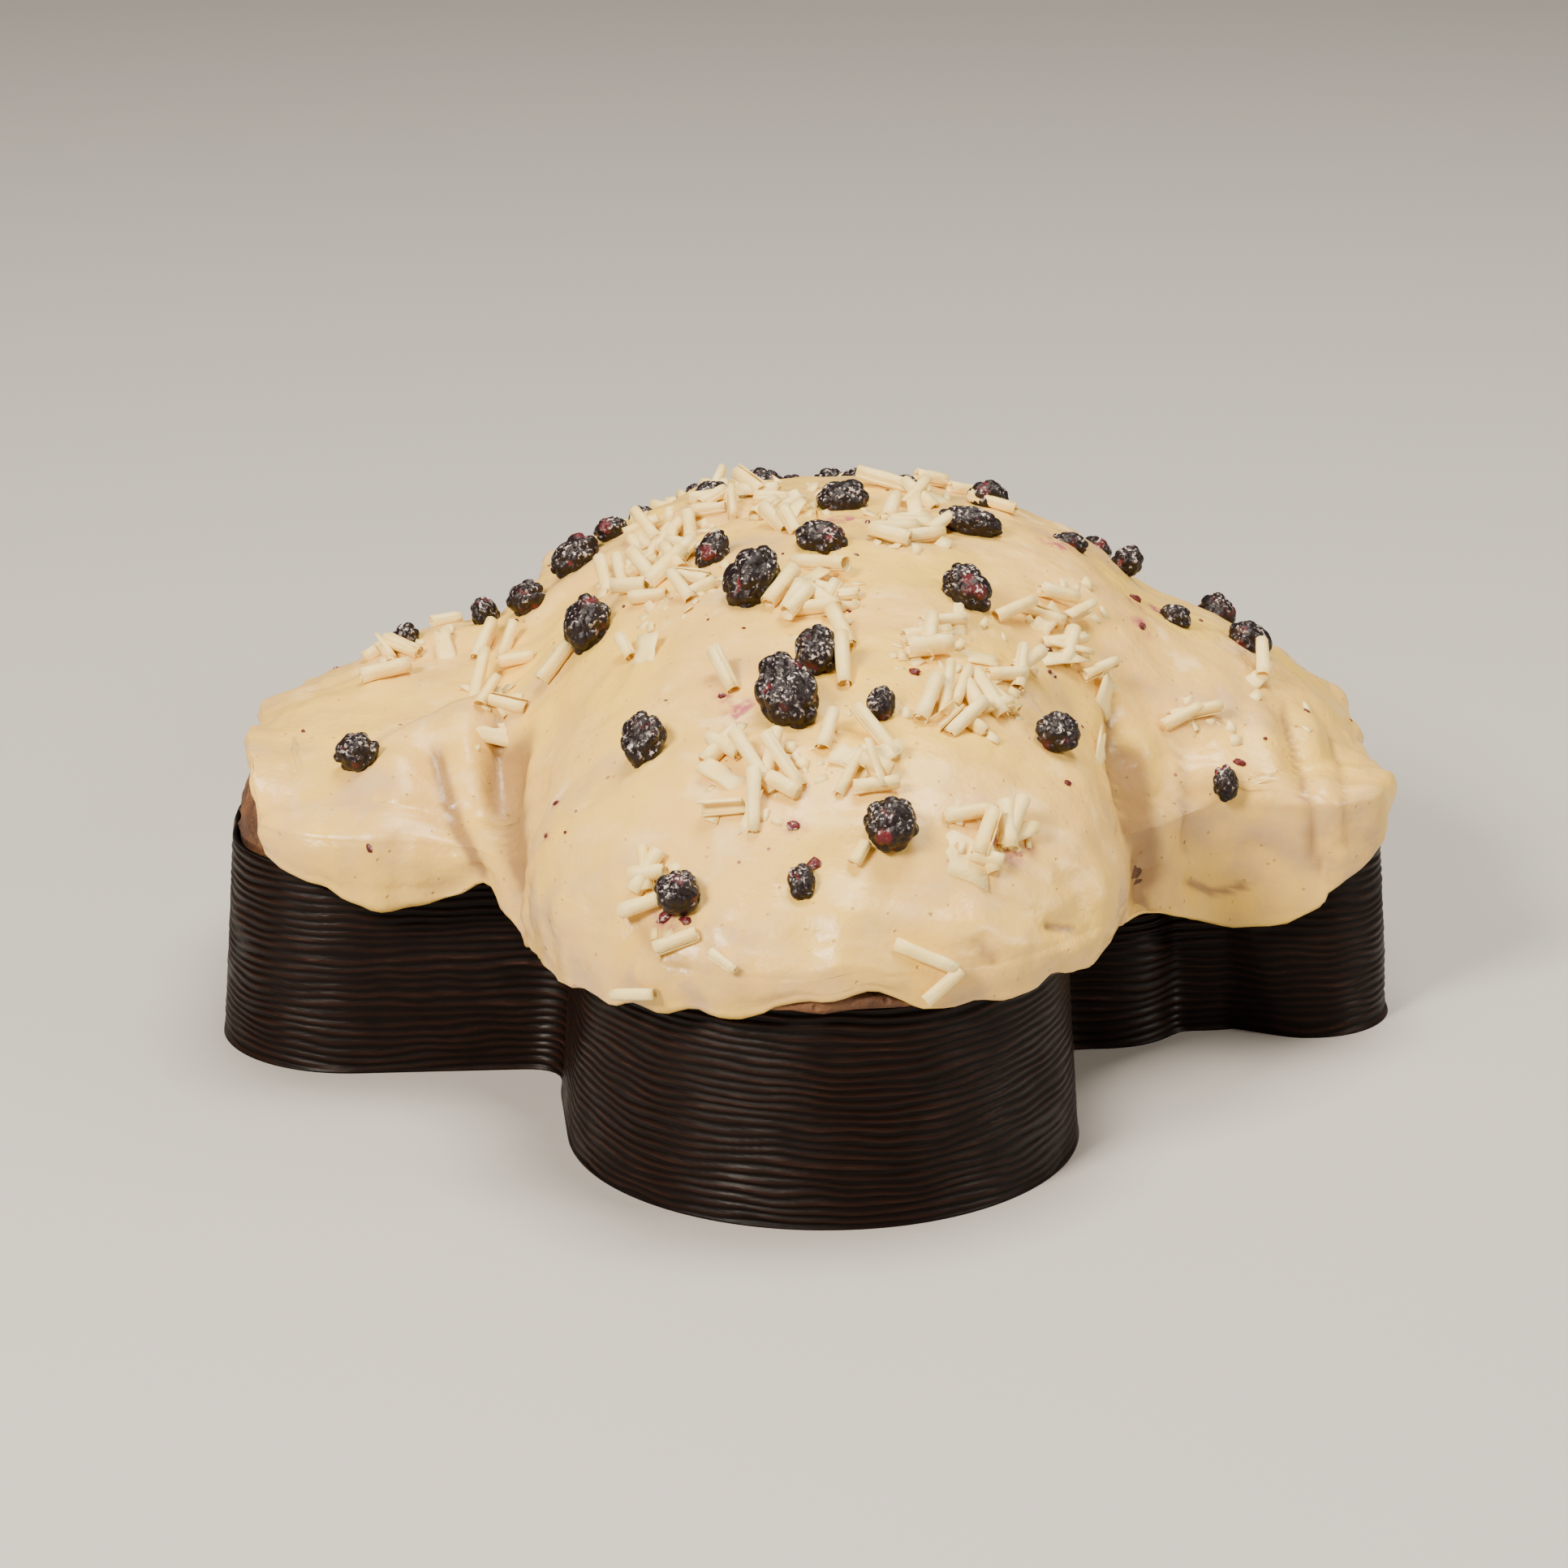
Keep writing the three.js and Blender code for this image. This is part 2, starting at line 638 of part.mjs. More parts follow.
let icing = toManifold(icingShell());
const curlPlaces = CURL_DRIFTS.flatMap((drift) =>
  Array.from({ length: drift.count }, () => {
    const away = drift.spread * Math.sqrt(random());
    const around = random() * 2 * Math.PI;
    const seen = [drift.at[0] + away * Math.cos(around), drift.at[1] + away * Math.sin(around)];
    return placeSeenAt(seen, 0);
  }),
);
curlPlaces.push(...hiddenPlaces(random, BACK_TRIES).slice(0, BACK_CURLS));
curlPlaces.forEach((place) => {
  if (place.clear > SIGHT_MISS || !icingPoint(place.x, place.y)) return;
  const length = THREE.MathUtils.lerp(CURL.least, CURL.most, random());
  const spin = random() * Math.PI;
  const middle = icingPoint(place.x, place.y);
  const tooNear = berries.some((berry) => {
    const reachOfBoth = (berry.long + length) / 2 + CURL.radius;
    return icingPoint(berry.x, berry.y).distanceTo(middle) < reachOfBoth;
  });
  if (tooNear) return;
  const shape = standOnIcing(
    curlShape(length, CURL.radius),
    place,
    spin,
    CURL.radius - CURL.sunk,
  );
  icing = icing.add(toManifold(shape));
});

const oneIcing = icing.decompose().sort((a, b) => b.volume() - a.volume())[0];
addPiece('icing', fromManifold(oneIcing), { color: 0xe6d8b8, roughness: 0.5, metalness: 0 });
addPiece('cake', cakeSolid(), { color: 0x7a3b1c, roughness: 0.85, metalness: 0 });
addPiece('paper_case', paperCase(), { color: 0x2a1816, roughness: 0.55, metalness: 0 });

export default cake;
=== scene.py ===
"""A dove-shaped festive cake under ivory icing, standing in its fluted baking case.

Everything keeps the cake's own frame: +Z up, the head lobe towards -Y and the wings along X.
Sizes are millimetres until a mesh is finished, when it is turned to metres.
"""

import itertools
import logging
import math
from collections.abc import Iterable
from dataclasses import dataclass, replace
from enum import Enum

import bmesh
import bpy
import numpy as np
from mathutils import Matrix, Vector
from mathutils.bvhtree import BVHTree


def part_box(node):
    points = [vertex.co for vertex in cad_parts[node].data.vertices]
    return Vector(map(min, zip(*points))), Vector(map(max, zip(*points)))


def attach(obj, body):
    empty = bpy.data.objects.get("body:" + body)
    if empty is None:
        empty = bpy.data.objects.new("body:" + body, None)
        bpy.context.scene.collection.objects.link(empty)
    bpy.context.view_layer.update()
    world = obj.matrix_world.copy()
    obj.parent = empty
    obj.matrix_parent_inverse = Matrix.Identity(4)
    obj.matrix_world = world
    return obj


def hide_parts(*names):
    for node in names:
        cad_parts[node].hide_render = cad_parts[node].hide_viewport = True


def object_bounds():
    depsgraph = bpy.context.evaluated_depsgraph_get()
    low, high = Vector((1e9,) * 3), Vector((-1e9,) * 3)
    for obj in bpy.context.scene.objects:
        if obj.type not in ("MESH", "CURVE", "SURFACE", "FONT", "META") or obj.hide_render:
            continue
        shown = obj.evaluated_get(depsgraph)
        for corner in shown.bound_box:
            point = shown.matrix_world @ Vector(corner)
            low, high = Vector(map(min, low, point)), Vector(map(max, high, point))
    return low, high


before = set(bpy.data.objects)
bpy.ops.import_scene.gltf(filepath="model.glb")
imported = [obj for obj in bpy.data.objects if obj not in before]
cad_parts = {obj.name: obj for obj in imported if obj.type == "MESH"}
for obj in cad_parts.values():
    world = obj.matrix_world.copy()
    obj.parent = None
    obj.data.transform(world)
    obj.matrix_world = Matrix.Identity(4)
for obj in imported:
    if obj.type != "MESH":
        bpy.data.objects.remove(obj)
CAD_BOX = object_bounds()
LOG = logging.getLogger("dove_cake")
MM = 0.001
SEED = 20
BOX_MARGIN = 0.15

Colour = tuple[float, float, float]
Pixel = tuple[float, float]


# ---- Materials as arithmetic on sockets ----


class Wire:
    """A shader socket that can stand in an expression."""

    def __init__(self, recipe: "Recipe", socket: bpy.types.NodeSocket) -> None:
        """Keeps the socket and the recipe whose nodes the expression adds.

        Args:
            recipe: The material under construction.
            socket: An output socket of one of its nodes.
        """
        self.recipe = recipe
        self.socket = socket

    def __add__(self, other: "Wire | float") -> "Wire":
        """Sum of two values."""
        return self.recipe.maths("ADD", self, other)

    __radd__ = __add__

    def __sub__(self, other: "Wire | float") -> "Wire":
        """This value less the other."""
        return self.recipe.maths("SUBTRACT", self, other)

    def __rsub__(self, other: float) -> "Wire":
        """A number less this value."""
        return self.recipe.maths("SUBTRACT", other, self)

    def __mul__(self, other: "Wire | float") -> "Wire":
        """Product of two values."""
        return self.recipe.maths("MULTIPLY", self, other)

    __rmul__ = __mul__

    def step(self, low: float, high: float) -> "Wire":
        """Runs smoothly from 0 at low to 1 at high.

        Args:
            low: The value that gives 0.
            high: The value that gives 1; it may be the smaller one.

        Returns:
            The eased value, held between 0 and 1.
        """
        settings = {"interpolation_type": "SMOOTHSTEP"}
        sockets = {"Value": self, "From Min": low, "From Max": high}
        return self.recipe.node("ShaderNodeMapRange", settings, sockets, "Result")


class Recipe:
    """One material and the nodes it is made of."""

    def __init__(self, name: str) -> None:
        """Starts an empty node material.

        Args:
            name: The material's name.
        """
        self.material = bpy.data.materials.new(name)
        self.material.use_nodes = True
        self.tree = self.material.node_tree
        self.tree.nodes.clear()

    def node(self, kind: str, settings: dict, sockets: dict, outlet: str | int = 0) -> Wire:
        """Adds a node.

        Args:
            kind: The node's type.
            settings: Its properties, set first.
            sockets: Values or wires by the name or number of the input.
            outlet: The output that is wanted.

        Returns:
            That output.
        """
        made = self.tree.nodes.new(kind)
        for key, value in settings.items():
            setattr(made, key, value)
        for key, value in sockets.items():
            if isinstance(value, Wire):
                self.tree.links.new(value.socket, made.inputs[key])
            else:
                made.inputs[key].default_value = value
        return Wire(self, made.outputs[outlet]) if made.outputs else Wire(self, None)

    def maths(self, operation: str, first: Wire | float, second: Wire | float) -> Wire:
        """One Math node on two values."""
        return self.node("ShaderNodeMath", {"operation": operation}, {0: first, 1: second})

    def place(self) -> Wire:
        """The point on the piece, in its own coordinates."""
        return self.node("ShaderNodeTexCoord", {}, {}, "Object")

    def stretched(self, scale: tuple[float, float, float]) -> Wire:
        """The point on the piece with X, Y and Z scaled."""
        sockets = {"Vector": self.place(), "Scale": scale}
        return self.node("ShaderNodeMapping", {}, sockets)

    def grain(self, scale: float, detail: float = 3.0, where: Wire | None = None) -> Wire:
        """Noise from 0 to 1.

        Args:
            scale: Cells in a metre.
            detail: Octaves.
            where: The point it is read at, or None for the piece's own coordinates.

        Returns:
            The noise value.
        """
        sockets = {"Vector": where or self.place(), "Scale": scale, "Detail": detail}
        return self.node("ShaderNodeTexNoise", {}, sockets, "Fac")

    def cells(self, scale: float) -> Wire:
        """Distance to the nearest of so many cell points in a metre."""
        sockets = {"Vector": self.place(), "Scale": scale}
        return self.node("ShaderNodeTexVoronoi", {"feature": "F1"}, sockets, "Distance")

    def painted(self, name: str) -> Wire:
        """A value kept on the mesh's points."""
        return self.node("ShaderNodeAttribute", {"attribute_name": name}, {}, "Fac")

    def blend(self, share: Wire | float, under: Wire | Colour, over: Wire | Colour) -> Wire:
        """Mixes two colours.

        Args:
            share: 0 for the first, 1 for the second.
            under: The first colour.
            over: The second colour.

        Returns:
            The mixed colour.
        """
        under = under if isinstance(under, Wire) else (*under, 1.0)
        over = over if isinstance(over, Wire) else (*over, 1.0)
        settings = {"data_type": "RGBA", "blend_type": "MIX"}
        return self.node("ShaderNodeMix", settings, {0: share, 6: under, 7: over}, 2)

    def relief(self, height: Wire, depth: float) -> Wire:
        """A normal bent by a height field, of which 1 stands for a depth in metres."""
        sockets = {"Height": height, "Distance": depth, "Strength": 1.0}
        return self.node("ShaderNodeBump", {}, sockets, "Normal")

    def done(self, sockets: dict) -> bpy.types.Material:
        """Closes the recipe with a Principled shader.

        Args:
            sockets: The shader's inputs.

        Returns:
            The finished material.
        """
        shader = self.node("ShaderNodeBsdfPrincipled", {}, sockets, "BSDF")
        self.node("ShaderNodeOutputMaterial", {}, {"Surface": shader})
        return self.material


@dataclass(frozen=True)
class IcingFinish:
    """Poured ivory icing: creamy where thick, greyish where thin, specked and faintly pitted, with
    shade painted into its creases.
    """

    cream: Colour = (0.84, 0.525, 0.125)
    butter: Colour = (0.87, 0.56, 0.080)
    chalk: Colour = (0.94, 0.69, 0.32)
    thin: Colour = (0.56, 0.36, 0.165)
    # Painted shade: olive brown for the creases, where shade falls.
    crease_shade: Colour = (0.30, 0.16, 0.055)
    juice: Colour = (0.46, 0.10, 0.13)
    fleck: Colour = (0.25, 0.11, 0.06)
    softness: float = 0.18
    bleed: Colour = (1.0, 0.75, 0.5)
    bleed_reach: float = 0.002
    pit_depth: float = 0.0006
    glaze: float = 0.12
    glaze_roughness: float = 0.2
    shine: float = 0.45

    def build(self) -> bpy.types.Material:
        """Makes the material."""
        mix = Recipe("ivory_icing")
        slow = mix.grain(38.0, 4.0)
        mid = mix.grain(150.0, 5.0)
        fine = mix.grain(900.0, 3.0)
        colour = mix.blend(slow.step(0.38, 0.62), self.cream, self.butter)
        powdery = mid.step(0.52, 0.72) * slow.step(0.6, 0.4)
        colour = mix.blend(powdery * 0.7, colour, self.chalk)
        colour = mix.blend(mix.painted("thin") * mid.step(0.25, 0.7), colour, self.thin)
        # Painted shade: the creases' attribute darkens the icing along each crease.
        colour = mix.blend(mix.painted("crease_shade").step(0.0, 0.8) * 0.9, colour, self.crease_shade)
        juicy = mix.painted("juice") * mix.grain(420.0, 4.0).step(0.35, 0.6)
        colour = mix.blend(juicy, colour, self.juice)
        speck = mix.cells(230.0).step(0.13, 0.06) * mix.grain(60.0, 2.0).step(0.6, 0.68)
        colour = mix.blend(speck, colour, self.fleck)
        holes = mix.cells(340.0).step(0.12, 0.03)
        pits = mix.grain(260.0, 4.0) * 0.7 + fine * 0.15 - holes * 0.5
        gloss = 0.30 + mid.step(0.3, 0.75) * 0.22 + powdery * 0.15
        return mix.done(
            {
                "Base Color": colour,
                "Roughness": gloss,
                "Normal": mix.relief(pits, self.pit_depth),
                "Subsurface Weight": self.softness,
                "Subsurface Radius": self.bleed,
                "Subsurface Scale": self.bleed_reach,
                "Specular IOR Level": self.shine,
                "Coat Weight": self.glaze,
                "Coat Roughness": self.glaze_roughness,
            }
        )


@dataclass(frozen=True)
class ChocolateFinish:
    """White chocolate: paler than the icing, waxy, with scraper marks along the curl."""

    pale: Colour = (0.96, 0.76, 0.31)
    warm: Colour = (0.92, 0.68, 0.21)
    softness: float = 0.05
    bleed: Colour = (1.0, 0.8, 0.6)
    bleed_reach: float = 0.001
    scrape_depth: float = 0.00012

    def build(self) -> bpy.types.Material:
        """Makes the material."""
        mix = Recipe("white_chocolate")
        colour = mix.blend(mix.grain(220.0, 3.0).step(0.35, 0.65), self.pale, self.warm)
        marks = mix.grain(1400.0, 3.0)
        return mix.done(
            {
                "Base Color": colour,
                "Roughness": 0.42 + marks * 0.15,
                "Normal": mix.relief(marks, self.scrape_depth),
                "Subsurface Weight": self.softness,
                "Subsurface Radius": self.bleed,
                "Subsurface Scale": self.bleed_reach,
            }
        )


@dataclass(frozen=True)
class BerryFinish:
    """Dried bramble: near black, wine red between the drupelets, frosted with sugar."""

    skin: Colour = (0.0075, 0.0032, 0.0042)
    flesh: Colour = (0.12, 0.010, 0.014)
    frost: Colour = (0.70, 0.60, 0.55)
    wrinkle_depth: float = 0.00022
    shine: float = 0.3

    def build(self) -> bpy.types.Material:
        """Makes the material."""
        mix = Recipe("dried_berry")
        patch = mix.grain(260.0, 3.0)
        red = patch.step(0.55, 0.72) * mix.painted("valley").step(0.2, 0.9)
        colour = mix.blend((red + mix.painted("torn")).step(0.0, 1.0), self.skin, self.flesh)
        crystals = mix.grain(1500.0, 3.0).step(0.54, 0.62)
        bloom = mix.grain(340.0, 2.0).step(0.36, 0.60) * mix.painted("upward").step(-0.2, 0.5)
        dusted = crystals * bloom
        colour = mix.blend(dusted * 0.85, colour, self.frost)
        wrinkles = mix.grain(1300.0, 4.0) + dusted * 0.6
        return mix.done(
            {
                "Base Color": colour,
                "Roughness": 0.34 + dusted * 0.4 + patch * 0.15,
                "Normal": mix.relief(wrinkles, self.wrinkle_depth),
                "Specular IOR Level": self.shine,
            }
        )


@dataclass(frozen=True)
class CrustFinish:
    """Browned crust: darker on its knobs, honey-coloured in its pores."""

    baked: Colour = (0.075, 0.028, 0.010)
    honey: Colour = (0.20, 0.085, 0.028)
    burnt: Colour = (0.022, 0.009, 0.005)
    pore_depth: float = 0.0006

    def build(self) -> bpy.types.Material:
        """Makes the material."""
        mix = Recipe("browned_crust")
        slow = mix.grain(120.0, 4.0)
        fine = mix.grain(700.0, 5.0)
        colour = mix.blend(slow.step(0.4, 0.65), self.baked, self.honey)
        colour = mix.blend(fine.step(0.55, 0.75) * 0.6, colour, self.burnt)
        pores = mix.cells(420.0).step(0.35, 0.05)
        return mix.done(
            {
                "Base Color": colour,
                "Roughness": 0.62 + fine * 0.25,
                "Normal": mix.relief(fine - pores * 0.8, self.pore_depth),
            }
        )


@dataclass(frozen=True)
class CasePaperFinish:
    """Dark brown greaseproof paper, painted with shade in its flutes' hollows and glints on their
    crests.
    """

    # valley is painted shade for the flutes' hollows, darker than the crest colour.
    valley: Colour = (0.0030, 0.0011, 0.0006)
    crest: Colour = (0.017, 0.0058, 0.0030)
    # A painted glint colour, for light caught on the crests.
    glint: Colour = (0.085, 0.044, 0.030)
    fibre_scale: tuple[float, float, float] = (420.0, 420.0, 2600.0)
    fibre_depth: float = 0.00008
    shine: float = 0.12

    def build(self) -> bpy.types.Material:
        """Makes the material."""
        mix = Recipe("fluted_case_paper")
        crest = mix.painted("crest")
        patch = mix.grain(70.0, 4.0)
        fibres = mix.grain(1.0, 4.0, mix.stretched(self.fibre_scale))
        # Painted shade: darker towards the flutes' hollows.
        colour = mix.blend(crest.step(0.15, 0.95), self.valley, self.crest)
        # Painted glints: lighter specks along the crests, broken up by fibre and patch noise.
        glints = crest.step(0.6, 1.0) * fibres.step(0.42, 0.72) * patch.step(0.3, 0.7)
        colour = mix.blend(glints * 0.8, colour, self.glint)
        return mix.done(
            {
                "Base Color": colour,
                "Roughness": 0.30 + patch.step(0.3, 0.7) * 0.22 + fibres * 0.12,
                "Normal": mix.relief(fibres, self.fibre_depth),
                "Specular IOR Level": self.shine,
            }
        )


@dataclass(frozen=True)
class FloorFinish:
    """Plain pale studio floor."""

    tone: Colour = (0.50, 0.48, 0.45)
    cloud: Colour = (0.46, 0.44, 0.41)
    roughness: float = 0.6

    def build(self) -> bpy.types.Material:
        """Makes the material."""
        mix = Recipe("studio_floor")
        colour = mix.blend(mix.grain(3.0, 2.0) * 0.2, self.tone, self.cloud)
        return mix.done({"Base Color": colour, "Roughness": self.roughness})


# ---- The shape in plan and the dome over it ----


@dataclass(frozen=True)
class RoundedBox:
    """One box of the outline, with rounded corners, widening towards +Y by flare."""

    x: float
    y: float
    half_wide: float
    half_long: float
    corner: float
    flare: float = 0.0

    def distance(self, x: np.ndarray, y: np.ndarray) -> np.ndarray:
        """Signed distance from the box's edge.

        Args:
            x: Places along X.
            y: Places along Y.

        Returns:
            The distances, negative inside.
        """
        over_x = np.abs(x - self.x) - self.half_wide - self.flare * (y - self.y) + self.corner
        over_y = np.abs(y - self.y) - self.half_long + self.corner
        outside = np.hypot(np.maximum(over_x, 0), np.maximum(over_y, 0))
        return outside + np.minimum(np.maximum(over_x, over_y), 0) - self.corner


@dataclass(frozen=True)
class Lobe:
    """One swell of the dome: its middle, half sizes and rise over the widest ring."""

    x: float
    y: float
    wide: float
    long: float
    rise: float


@dataclass(frozen=True)
class Station:
    """How the icing's skirt ends in a direction: stand-out from the case and lower edge."""

    at: float
    out: float
    edge: float


def rounded_min(a: np.ndarray, b: np.ndarray, blend: float) -> np.ndarray:
    """The smaller of two distances, rounded where they meet."""
    overlap = np.maximum(blend - np.abs(a - b), 0) / blend
    return np.minimum(a, b) - overlap * overlap * blend / 4


def ringwise(values: np.ndarray, passes: int) -> np.ndarray:
    """Smooths values that run round a ring.

    Args:
        values: One value for each column.
        passes: How many times neighbours are averaged.

    Returns:
        The smoothed values.
    """
    for _ in range(passes):
        values = (np.roll(values, 1) + 2 * values + np.roll(values, -1)) / 4
    return values


def smooth_share(value: np.ndarray) -> np.ndarray:
    """Eases a share from 0 to 1."""
    held = np.clip(value, 0, 1)
    return held * held * (3 - 2 * held)


@dataclass
class CakePlan:
    """The cake's main dimensions, from which case, crust and icing all take their shape."""

    axis: tuple[float, float] = (2.0, 6.0)
    rim_height: float = 37.0
    case_lean: float = 2.6
    case_neck: float = 7.0
    dome_neck: float = 24.0
    widest: float = 44.0
    least_rise: float = 6.0
    fullness: float = 2.3
    merge: float = 5.0
    shoulder_power: float = 4.2
    farthest: float = 220.0
    halvings: int = 24
    fine_steps: int = 2881
    arms: tuple[tuple[RoundedBox, ...], ...] = (
        (RoundedBox(-2.5, -70, 43.4, 50, 41, 0.04),),
        (RoundedBox(-53, -19, 52.5, 29, 24), RoundedBox(-49, 8, 54, 40, 38)),
        (
            RoundedBox(50, 6, 54, 43.5, 36),
            RoundedBox(87.5, -18, 15.5, 24.3, 15.5),
            RoundedBox(42, -10, 24, 35, 16),
        ),
        (RoundedBox(6, 84, 47, 56, 34, 0.04),),
    )
    lobes: tuple[Lobe, ...] = (
        Lobe(6, 5, 64, 78, 42), Lobe(0, -62, 57, 63, 36), Lobe(-50, -2, 53, 50, 20),
        Lobe(48, 2, 53, 50, 25), Lobe(6, 80, 54, 64, 22),
    )
    stations: tuple[Station, ...] = (
        Station(-168, -6.0, 48.0), Station(-160, -6.0, 49.0), Station(-157, -4.0, 45.0),
        Station(-153.5, 0.8, 39.8), Station(-149.5, 2.0, 35.6), Station(-145, 4.0, 33.4),
        Station(-140, 5.0, 34.0), Station(-136, 5.6, 35.2), Station(-133, 6.0, 38.0),
        Station(-130, 6.0, 34.4), Station(-125, 6.0, 31.8), Station(-118, 5.0, 33.6),
        Station(-111, 4.2, 34.4), Station(-103, 3.6, 36.4), Station(-97, 3.0, 38.4),
        Station(-91, 3.0, 40.2), Station(-84.5, 3.4, 36.9), Station(-80, 4.0, 36.2),
        Station(-75, 5.0, 38.6), Station(-70, 6.0, 38.0), Station(-66, 6.4, 39.5),
        Station(-54, 6.5, 28.6), Station(-47, 6.4, 27.2), Station(-42, 6.2, 24.2),
        Station(-34.5, 5.2, 21.4), Station(-32.5, 3.6, 23.0), Station(-31, 2.8, 27.0),
        Station(-28, 1.4, 31.5), Station(-25, 0.9, 35.5), Station(-21, -0.6, 39.0),
        Station(-15, -2.6, 39.6), Station(8, -3.4, 39.8), Station(22, -2.6, 39.6),
        Station(29, 0.9, 38.6), Station(40, 3.0, 34.8), Station(52, 5.0, 33.2),
        Station(66, 5.0, 35.5), Station(80, 4.4, 33.5), Station(96, 4.5, 36.5),
        Station(112, 4.8, 33.2), Station(130, 5.0, 35.6), Station(145, 4.0, 33.8),
        Station(156, 0.9, 38.8), Station(168, -3.0, 41.5), Station(180, -5.0, 45.5),
    )

    def distance(self, x: np.ndarray, y: np.ndarray, neck: float) -> np.ndarray:
        """Signed distance from the outline.

        Args:
            x: Places along X.
            y: Places along Y.
            neck: How softly the arms run together.

        Returns:
            The distances, negative inside.
        """
        whole = None
        for boxes in self.arms:
            arm = np.minimum.reduce([box.distance(x, y) for box in boxes])
            whole = arm if whole is None else rounded_min(whole, arm, neck)
        return whole

    def reach(self, angles: np.ndarray, offset: np.ndarray | float, neck: float) -> np.ndarray:
        """How far the outline lies from the dome's axis.

        Args:
            angles: Directions in radians.
            offset: How far the outline is set out.
            neck: How softly the arms run together.

        Returns:
            One distance for each direction.
        """
        near = np.zeros_like(angles)
        far = np.full_like(angles, self.farthest)
        for _ in range(self.halvings):
            middle = (near + far) / 2
            x = self.axis[0] + middle * np.cos(angles)
            y = self.axis[1] + middle * np.sin(angles)
            inside = self.distance(x, y, neck) < offset
            near = np.where(inside, middle, near)
            far = np.where(inside, far, middle)
        return (near + far) / 2

    def directions(self, count: int) -> np.ndarray:
        """Directions that cut the outline into steps of equal length.

        Args:
            count: How many steps.

        Returns:
            The directions in radians, from -pi upwards.
        """
        fine = np.linspace(-math.pi, math.pi, self.fine_steps)
        radius = ringwise(self.reach(fine, 0.0, self.case_neck), 6)
        x, y = radius * np.cos(fine), radius * np.sin(fine)
        lengths = np.concatenate([[0.0], np.cumsum(np.hypot(np.diff(x), np.diff(y)))])
        return np.interp(np.arange(count) / count * lengths[-1], lengths, fine)

    def rise(self, x: np.ndarray, y: np.ndarray) -> np.ndarray:
        """How far the dome stands over its widest ring, before its edge turns down."""
        total = np.zeros_like(x)
        for lobe in self.lobes:
            across = np.abs((x - lobe.x) / lobe.wide) ** self.fullness
            along = np.abs((y - lobe.y) / lobe.long) ** self.fullness
            swell = lobe.rise * np.sqrt(np.maximum(1 - across - along, 0))
            total = total + swell**self.merge
        return total ** (1 / self.merge)

    def shoulder(self, share: float) -> float:
        """The share of the rise that is left at a share of the way to the dome's edge."""
        return math.sqrt(max(1 - share**self.shoulder_power, 0))

    def skirt(self, angles: np.ndarray) -> tuple[np.ndarray, np.ndarray]:
        """The skirt's stand-out and lower edge.

        Args:
            angles: Directions in radians, from -pi to pi.

        Returns:
            The stand-outs and the heights of the edge.
        """
        turns = np.degrees(angles)
        first, last = self.stations[0], self.stations[-1]
        ring = (Station(last.at - 360, last.out, last.edge), *self.stations)
        ring = (*ring, Station(first.at + 360, first.out, first.edge))
        places = np.array([station.at for station in ring])
        index = np.clip(np.searchsorted(places, turns, side="right") - 1, 0, len(ring) - 2)
        share = (turns - places[index]) / (places[index + 1] - places[index])
        eased = smooth_share(share)
        out = np.array([station.out for station in ring])
        edge = np.array([station.edge for station in ring])
        return (
            out[index] + (out[index + 1] - out[index]) * eased,
            edge[index] + (edge[index + 1] - edge[index]) * eased,
        )

    def around(self, angles: np.ndarray, radius: np.ndarray, z: np.ndarray | float) -> np.ndarray:
        """Points round the dome's axis.

        Args:
            angles: Directions in radians.
            radius: Distances from the axis.
            z: Heights.

        Returns:
            An array of points, one for each direction.
        """
        x = self.axis[0] + radius * np.cos(angles)
        y = self.axis[1] + radius * np.sin(angles)
        return np.stack([x, y, np.broadcast_to(z, x.shape)], axis=1)


# ---- Meshes ----


def moulded_shell(
    top: np.ndarray,
    rings: np.ndarray,
    bottom: np.ndarray,
    fields: dict[str, np.ndarray] | None = None,
) -> bmesh.types.BMesh:
    """Moulds a sphere onto a stack of rings, which gives one closed shell.

    Args:
        top: The point that closes the first ring.
        rings: Points as ring, column, coordinate; the first ring is the sphere's top.
        bottom: The point that closes the last ring.
        fields: Values by name, as ring and column, that each point keeps for its material.

    Returns:
        The shell, in millimetres.
    """
    count, columns = rings.shape[:2]
    fields = fields or {}
    shell = bmesh.new()
    bmesh.ops.create_uvsphere(shell, u_segments=columns, v_segments=count + 1, radius=1.0)
    layers = {name: shell.verts.layers.float.new(name) for name in fields}
    for vertex in shell.verts:
        place = vertex.co
        ring = round(math.acos(max(-1.0, min(1.0, place.z))) / math.pi * (count + 1))
        if ring in (0, count + 1):
            vertex.co = Vector(bottom if ring else top)
            continue
        turn = math.atan2(place.y, place.x) % (2 * math.pi)
        column = round(turn / (2 * math.pi) * columns) % columns
        vertex.co = Vector(rings[ring - 1, column])
        for name, layer in layers.items():
            vertex[layer] = float(fields[name][ring - 1, column])
    return shell


def ring_tree(rings: np.ndarray) -> BVHTree:
    """A search tree over the faces between rings, to find places on them.

    Args:
        rings: Points as ring, column, coordinate.

    Returns:
        The tree.
    """
    count, columns = rings.shape[:2]
    grid = np.arange(count * columns).reshape(count, columns)
    right = np.roll(grid, -1, axis=1)
    quads = np.stack([grid[:-1], grid[1:], right[1:], right[:-1]], axis=-1)
    points = rings.reshape(-1, 3).tolist()
    return BVHTree.FromPolygons(points, quads.reshape(-1, 4).tolist())


def ring_normals(rings: np.ndarray) -> np.ndarray:
    """Outward normals of a stack of rings, from the top down."""
    along = np.roll(rings, -1, axis=1) - np.roll(rings, 1, axis=1)
    down = np.empty_like(rings)
    down[1:-1] = rings[2:] - rings[:-2]
    down[0] = rings[1] - rings[0]
    down[-1] = rings[-1] - rings[-2]
    normal = np.cross(down, along)
    return normal / np.maximum(np.linalg.norm(normal, axis=2, keepdims=True), 1e-9)


